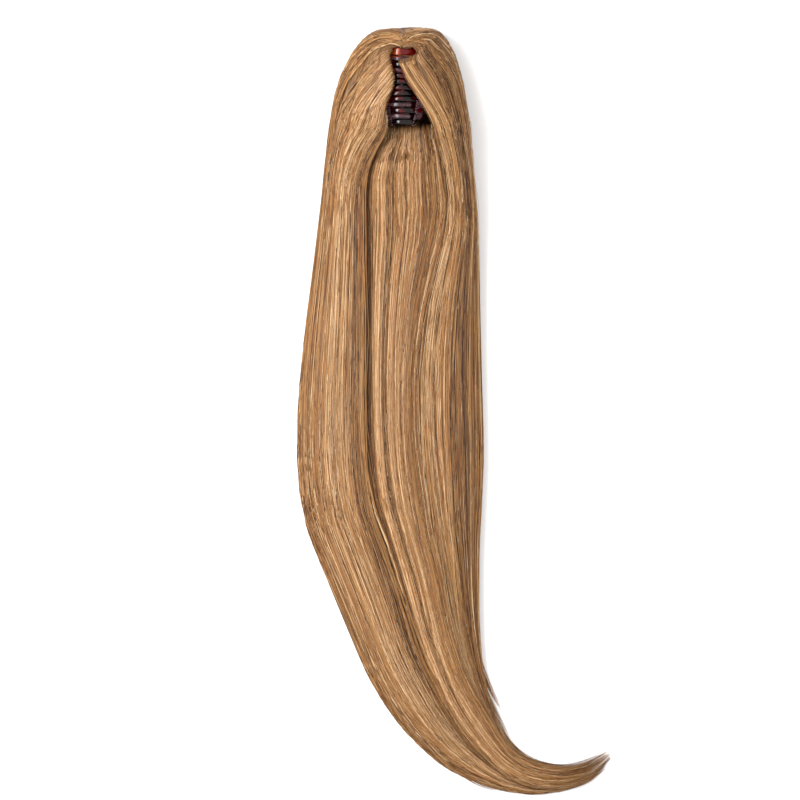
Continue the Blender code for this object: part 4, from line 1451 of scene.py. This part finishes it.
def netting(name, side, count, low, high, clip, finish, body):
    """Netting over a jaw's shoulder: two families of yarns lean over each other along the jaw's length,
    each with sines of its own phase along and across, and drawn in at the ends as the jaw is.
    """
    random = np.random.default_rng(NET_SEED)
    v = np.linspace(0, 1, 30)
    line = through(NET_PROFILE[side], 10)
    across = np.interp(v, np.linspace(0, 1, len(line)), line[:, 0])
    up = np.interp(v, np.linspace(0, 1, len(line)), line[:, 1]) + HINGE_Z
    lean = np.repeat((-1.0, 1.0), count)[:, None]
    start = np.tile(np.linspace(low, high, count), 2)[:, None] + random.normal(0, 0.25, (2 * count, 1))
    y = start + lean * NET_LEAN * (v - 0.5) + 0.6 * np.sin(v * 15 + random.uniform(0, 6, (2 * count, 1)))
    y = np.clip(y, low - NET_PAST_END, high + NET_PAST_END)
    puff = 0.22 * np.sin(v * 19 + random.uniform(0, 6, (2 * count, 1))) + 0.18 * np.sin(y * 0.9)
    puff *= np.clip(0.2 + 1.5 * v, 0, 1)
    x = side * (across + puff) * end_narrowing(y - CLIP_MIDDLE_Y)
    path = np.stack([x, y, up + puff * 0.6], axis=-1) * MM
    normals = np.broadcast_to((side * 0.7, 0.0, 0.7), path.shape)
    width = np.full(path.shape[:2], clip.yarn_width)
    points, faces, _, _ = tubes(path, normals, width, width, 4)
    return new_piece(name, points, faces, [finish], body)


class PONYTAIL_OT_thread(bpy.types.Operator):
    """Make the thread wound on the fixed jaw and the netting over the shoulders of both"""

    bl_idname = "ponytail.thread"
    bl_label = "Thread and netting"

    def execute(self, context):
        clip = context.scene.ponytail_clip
        finish = shared("mauve_sewing_thread", thread_finish)
        pieces = (
            wound_thread(clip, finish),
            netting("right_shoulder_net", 1, 22, -25.0, -4.0, clip, finish, MOVING_BODY),
            netting("left_shoulder_net", -1, 12, -25.0, -13.0, clip, finish, FIXED_BODY),
        )
        return {"FINISHED"}


class PONYTAIL_OT_hinge(bpy.types.Operator):
    """Finish the pin and make the spring"""

    bl_idname = "ponytail.hinge"
    bl_label = "Hinge"

    def execute(self, context):
        finish = shared("drawn_spring_wire", steel_finish)
        pin = FRAME["nodes"]["hinge_pin"]
        pin.data.materials.clear()
        pin.data.materials.append(finish)
        turns = np.linspace(0, COIL_TURNS, int(COIL_TURNS * 24) + 1)
        angle = math.pi - 2 * math.pi * turns
        y = -COIL_HALF_LENGTH + 2 * COIL_HALF_LENGTH * turns / COIL_TURNS
        coil = np.column_stack([COIL_RADIUS * np.cos(angle), y, COIL_RADIUS * np.sin(angle)])
        leg = np.linspace(0, 1, 8)[:-1, None]
        foot = np.array((-LEG_ACROSS, -COIL_HALF_LENGTH, -LEG_DROP))
        head = np.array((LEG_ACROSS, COIL_HALF_LENGTH, -LEG_DROP))
        path = np.concatenate([foot + leg * (coil[0] - foot), coil, head + leg[::-1] * (coil[-1] - head)])
        path = (path + (0, 0, HINGE_Z)) * MM
        normals = np.broadcast_to((0.0, 1.0, 0.0), path.shape)
        width = np.full((1, len(path)), 2 * WIRE_RADIUS * MM)
        points, faces, _, _ = tubes(path[None], normals[None], width, width, 12)
        spring = new_piece("coil_spring", points, faces, [finish])
        spring.parent = None
        turn_outwards(spring)
        del spring["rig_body"]
        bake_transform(spring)
        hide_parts("hinge_spring")
        return {"FINISHED"}


class PONYTAIL_OT_weft(bpy.types.Operator):
    """Make the sewn weft band, whose section ripples where it is stitched"""

    bl_idname = "ponytail.weft"
    bl_label = "Weft band"

    def execute(self, context):
        around, sections = 240, 28
        middle = np.array(((BAND_LEFT + BAND_RIGHT) / 2, (BAND_CROWN + BAND_NAPE) / 2))
        half = np.array(((BAND_RIGHT - BAND_LEFT) / 2, (BAND_CROWN - BAND_NAPE) / 2)) + BAND_THICKNESS / 2
        angle = full_turn(around)
        turn = signed_power(np.column_stack([np.cos(angle), np.sin(angle)]), 2 / BAND_POWER)
        line = middle + half * turn
        out = unit(np.column_stack([np.gradient(line[:, 1]), -np.gradient(line[:, 0])]))
        section = full_turn(sections)
        ripple = 1 + 0.10 * np.cos(8 * section)
        thick = BAND_THICKNESS / 2 * signed_power(np.cos(section), 0.4) * ripple
        rise = (BAND_HIGH - BAND_LOW) / 2 * signed_power(np.sin(section), 0.7)
        plan = line[:, None] + thick[None, :, None] * out[:, None]
        height = (BAND_HIGH + BAND_LOW) / 2 + np.broadcast_to(rise, plan.shape[:2])
        points = raised(plan, height).reshape(-1, 3) * MM
        finish = shared("mauve_sewing_thread", thread_finish)
        band = new_piece("weft_band_strip", points, [closed_rings(around, sections)], [finish])
        turn_outwards(band)
        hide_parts("weft_band")
        return {"FINISHED"}


PIECES = (
    PONYTAIL_OT_stage,
    PONYTAIL_OT_hair_bodies,
    PONYTAIL_OT_side_locks,
    PONYTAIL_OT_back_fall,
    PONYTAIL_OT_clamped_lock,
    PONYTAIL_OT_loose_ends,
    PONYTAIL_OT_claw_jaws,
    PONYTAIL_OT_thread,
    PONYTAIL_OT_hinge,
    PONYTAIL_OT_weft,
)


class PONYTAIL_PT_panel(bpy.types.Panel):
    """Steps that dress the ponytail, and their settings"""

    bl_label = "Claw Clip Ponytail"
    bl_idname = "PONYTAIL_PT_panel"
    bl_space_type = "VIEW_3D"
    bl_region_type = "UI"
    bl_category = "Ponytail"

    def draw(self, context):
        for settings in ("ponytail_hair", "ponytail_colours", "ponytail_clip", "ponytail_stage"):
            box = self.layout.box()
            group = getattr(context.scene, settings)
            for key in group.bl_rna.properties.keys():
                if key not in ("rna_type", "name"):
                    box.prop(group, key)
        for piece in PIECES:
            self.layout.operator(piece.bl_idname)


SETTINGS = {
    "ponytail_hair": HairSettings,
    "ponytail_colours": HairColours,
    "ponytail_clip": ClipSettings,
    "ponytail_stage": StageSettings,
}


def register():
    for group in SETTINGS.values():
        bpy.utils.register_class(group)
    for key, group in SETTINGS.items():
        setattr(bpy.types.Scene, key, bpy.props.PointerProperty(type=group))
    for piece in (*PIECES, PONYTAIL_PT_panel):
        bpy.utils.register_class(piece)


def unregister():
    for piece in (PONYTAIL_PT_panel, *reversed(PIECES)):
        bpy.utils.unregister_class(piece)
    for key, group in SETTINGS.items():
        delattr(bpy.types.Scene, key)
        bpy.utils.unregister_class(group)


def main():
    register()
    for piece in PIECES:
        group, name = piece.bl_idname.split(".")
        getattr(getattr(bpy.ops, group), name)()


if __name__ == "__main__":
    main()
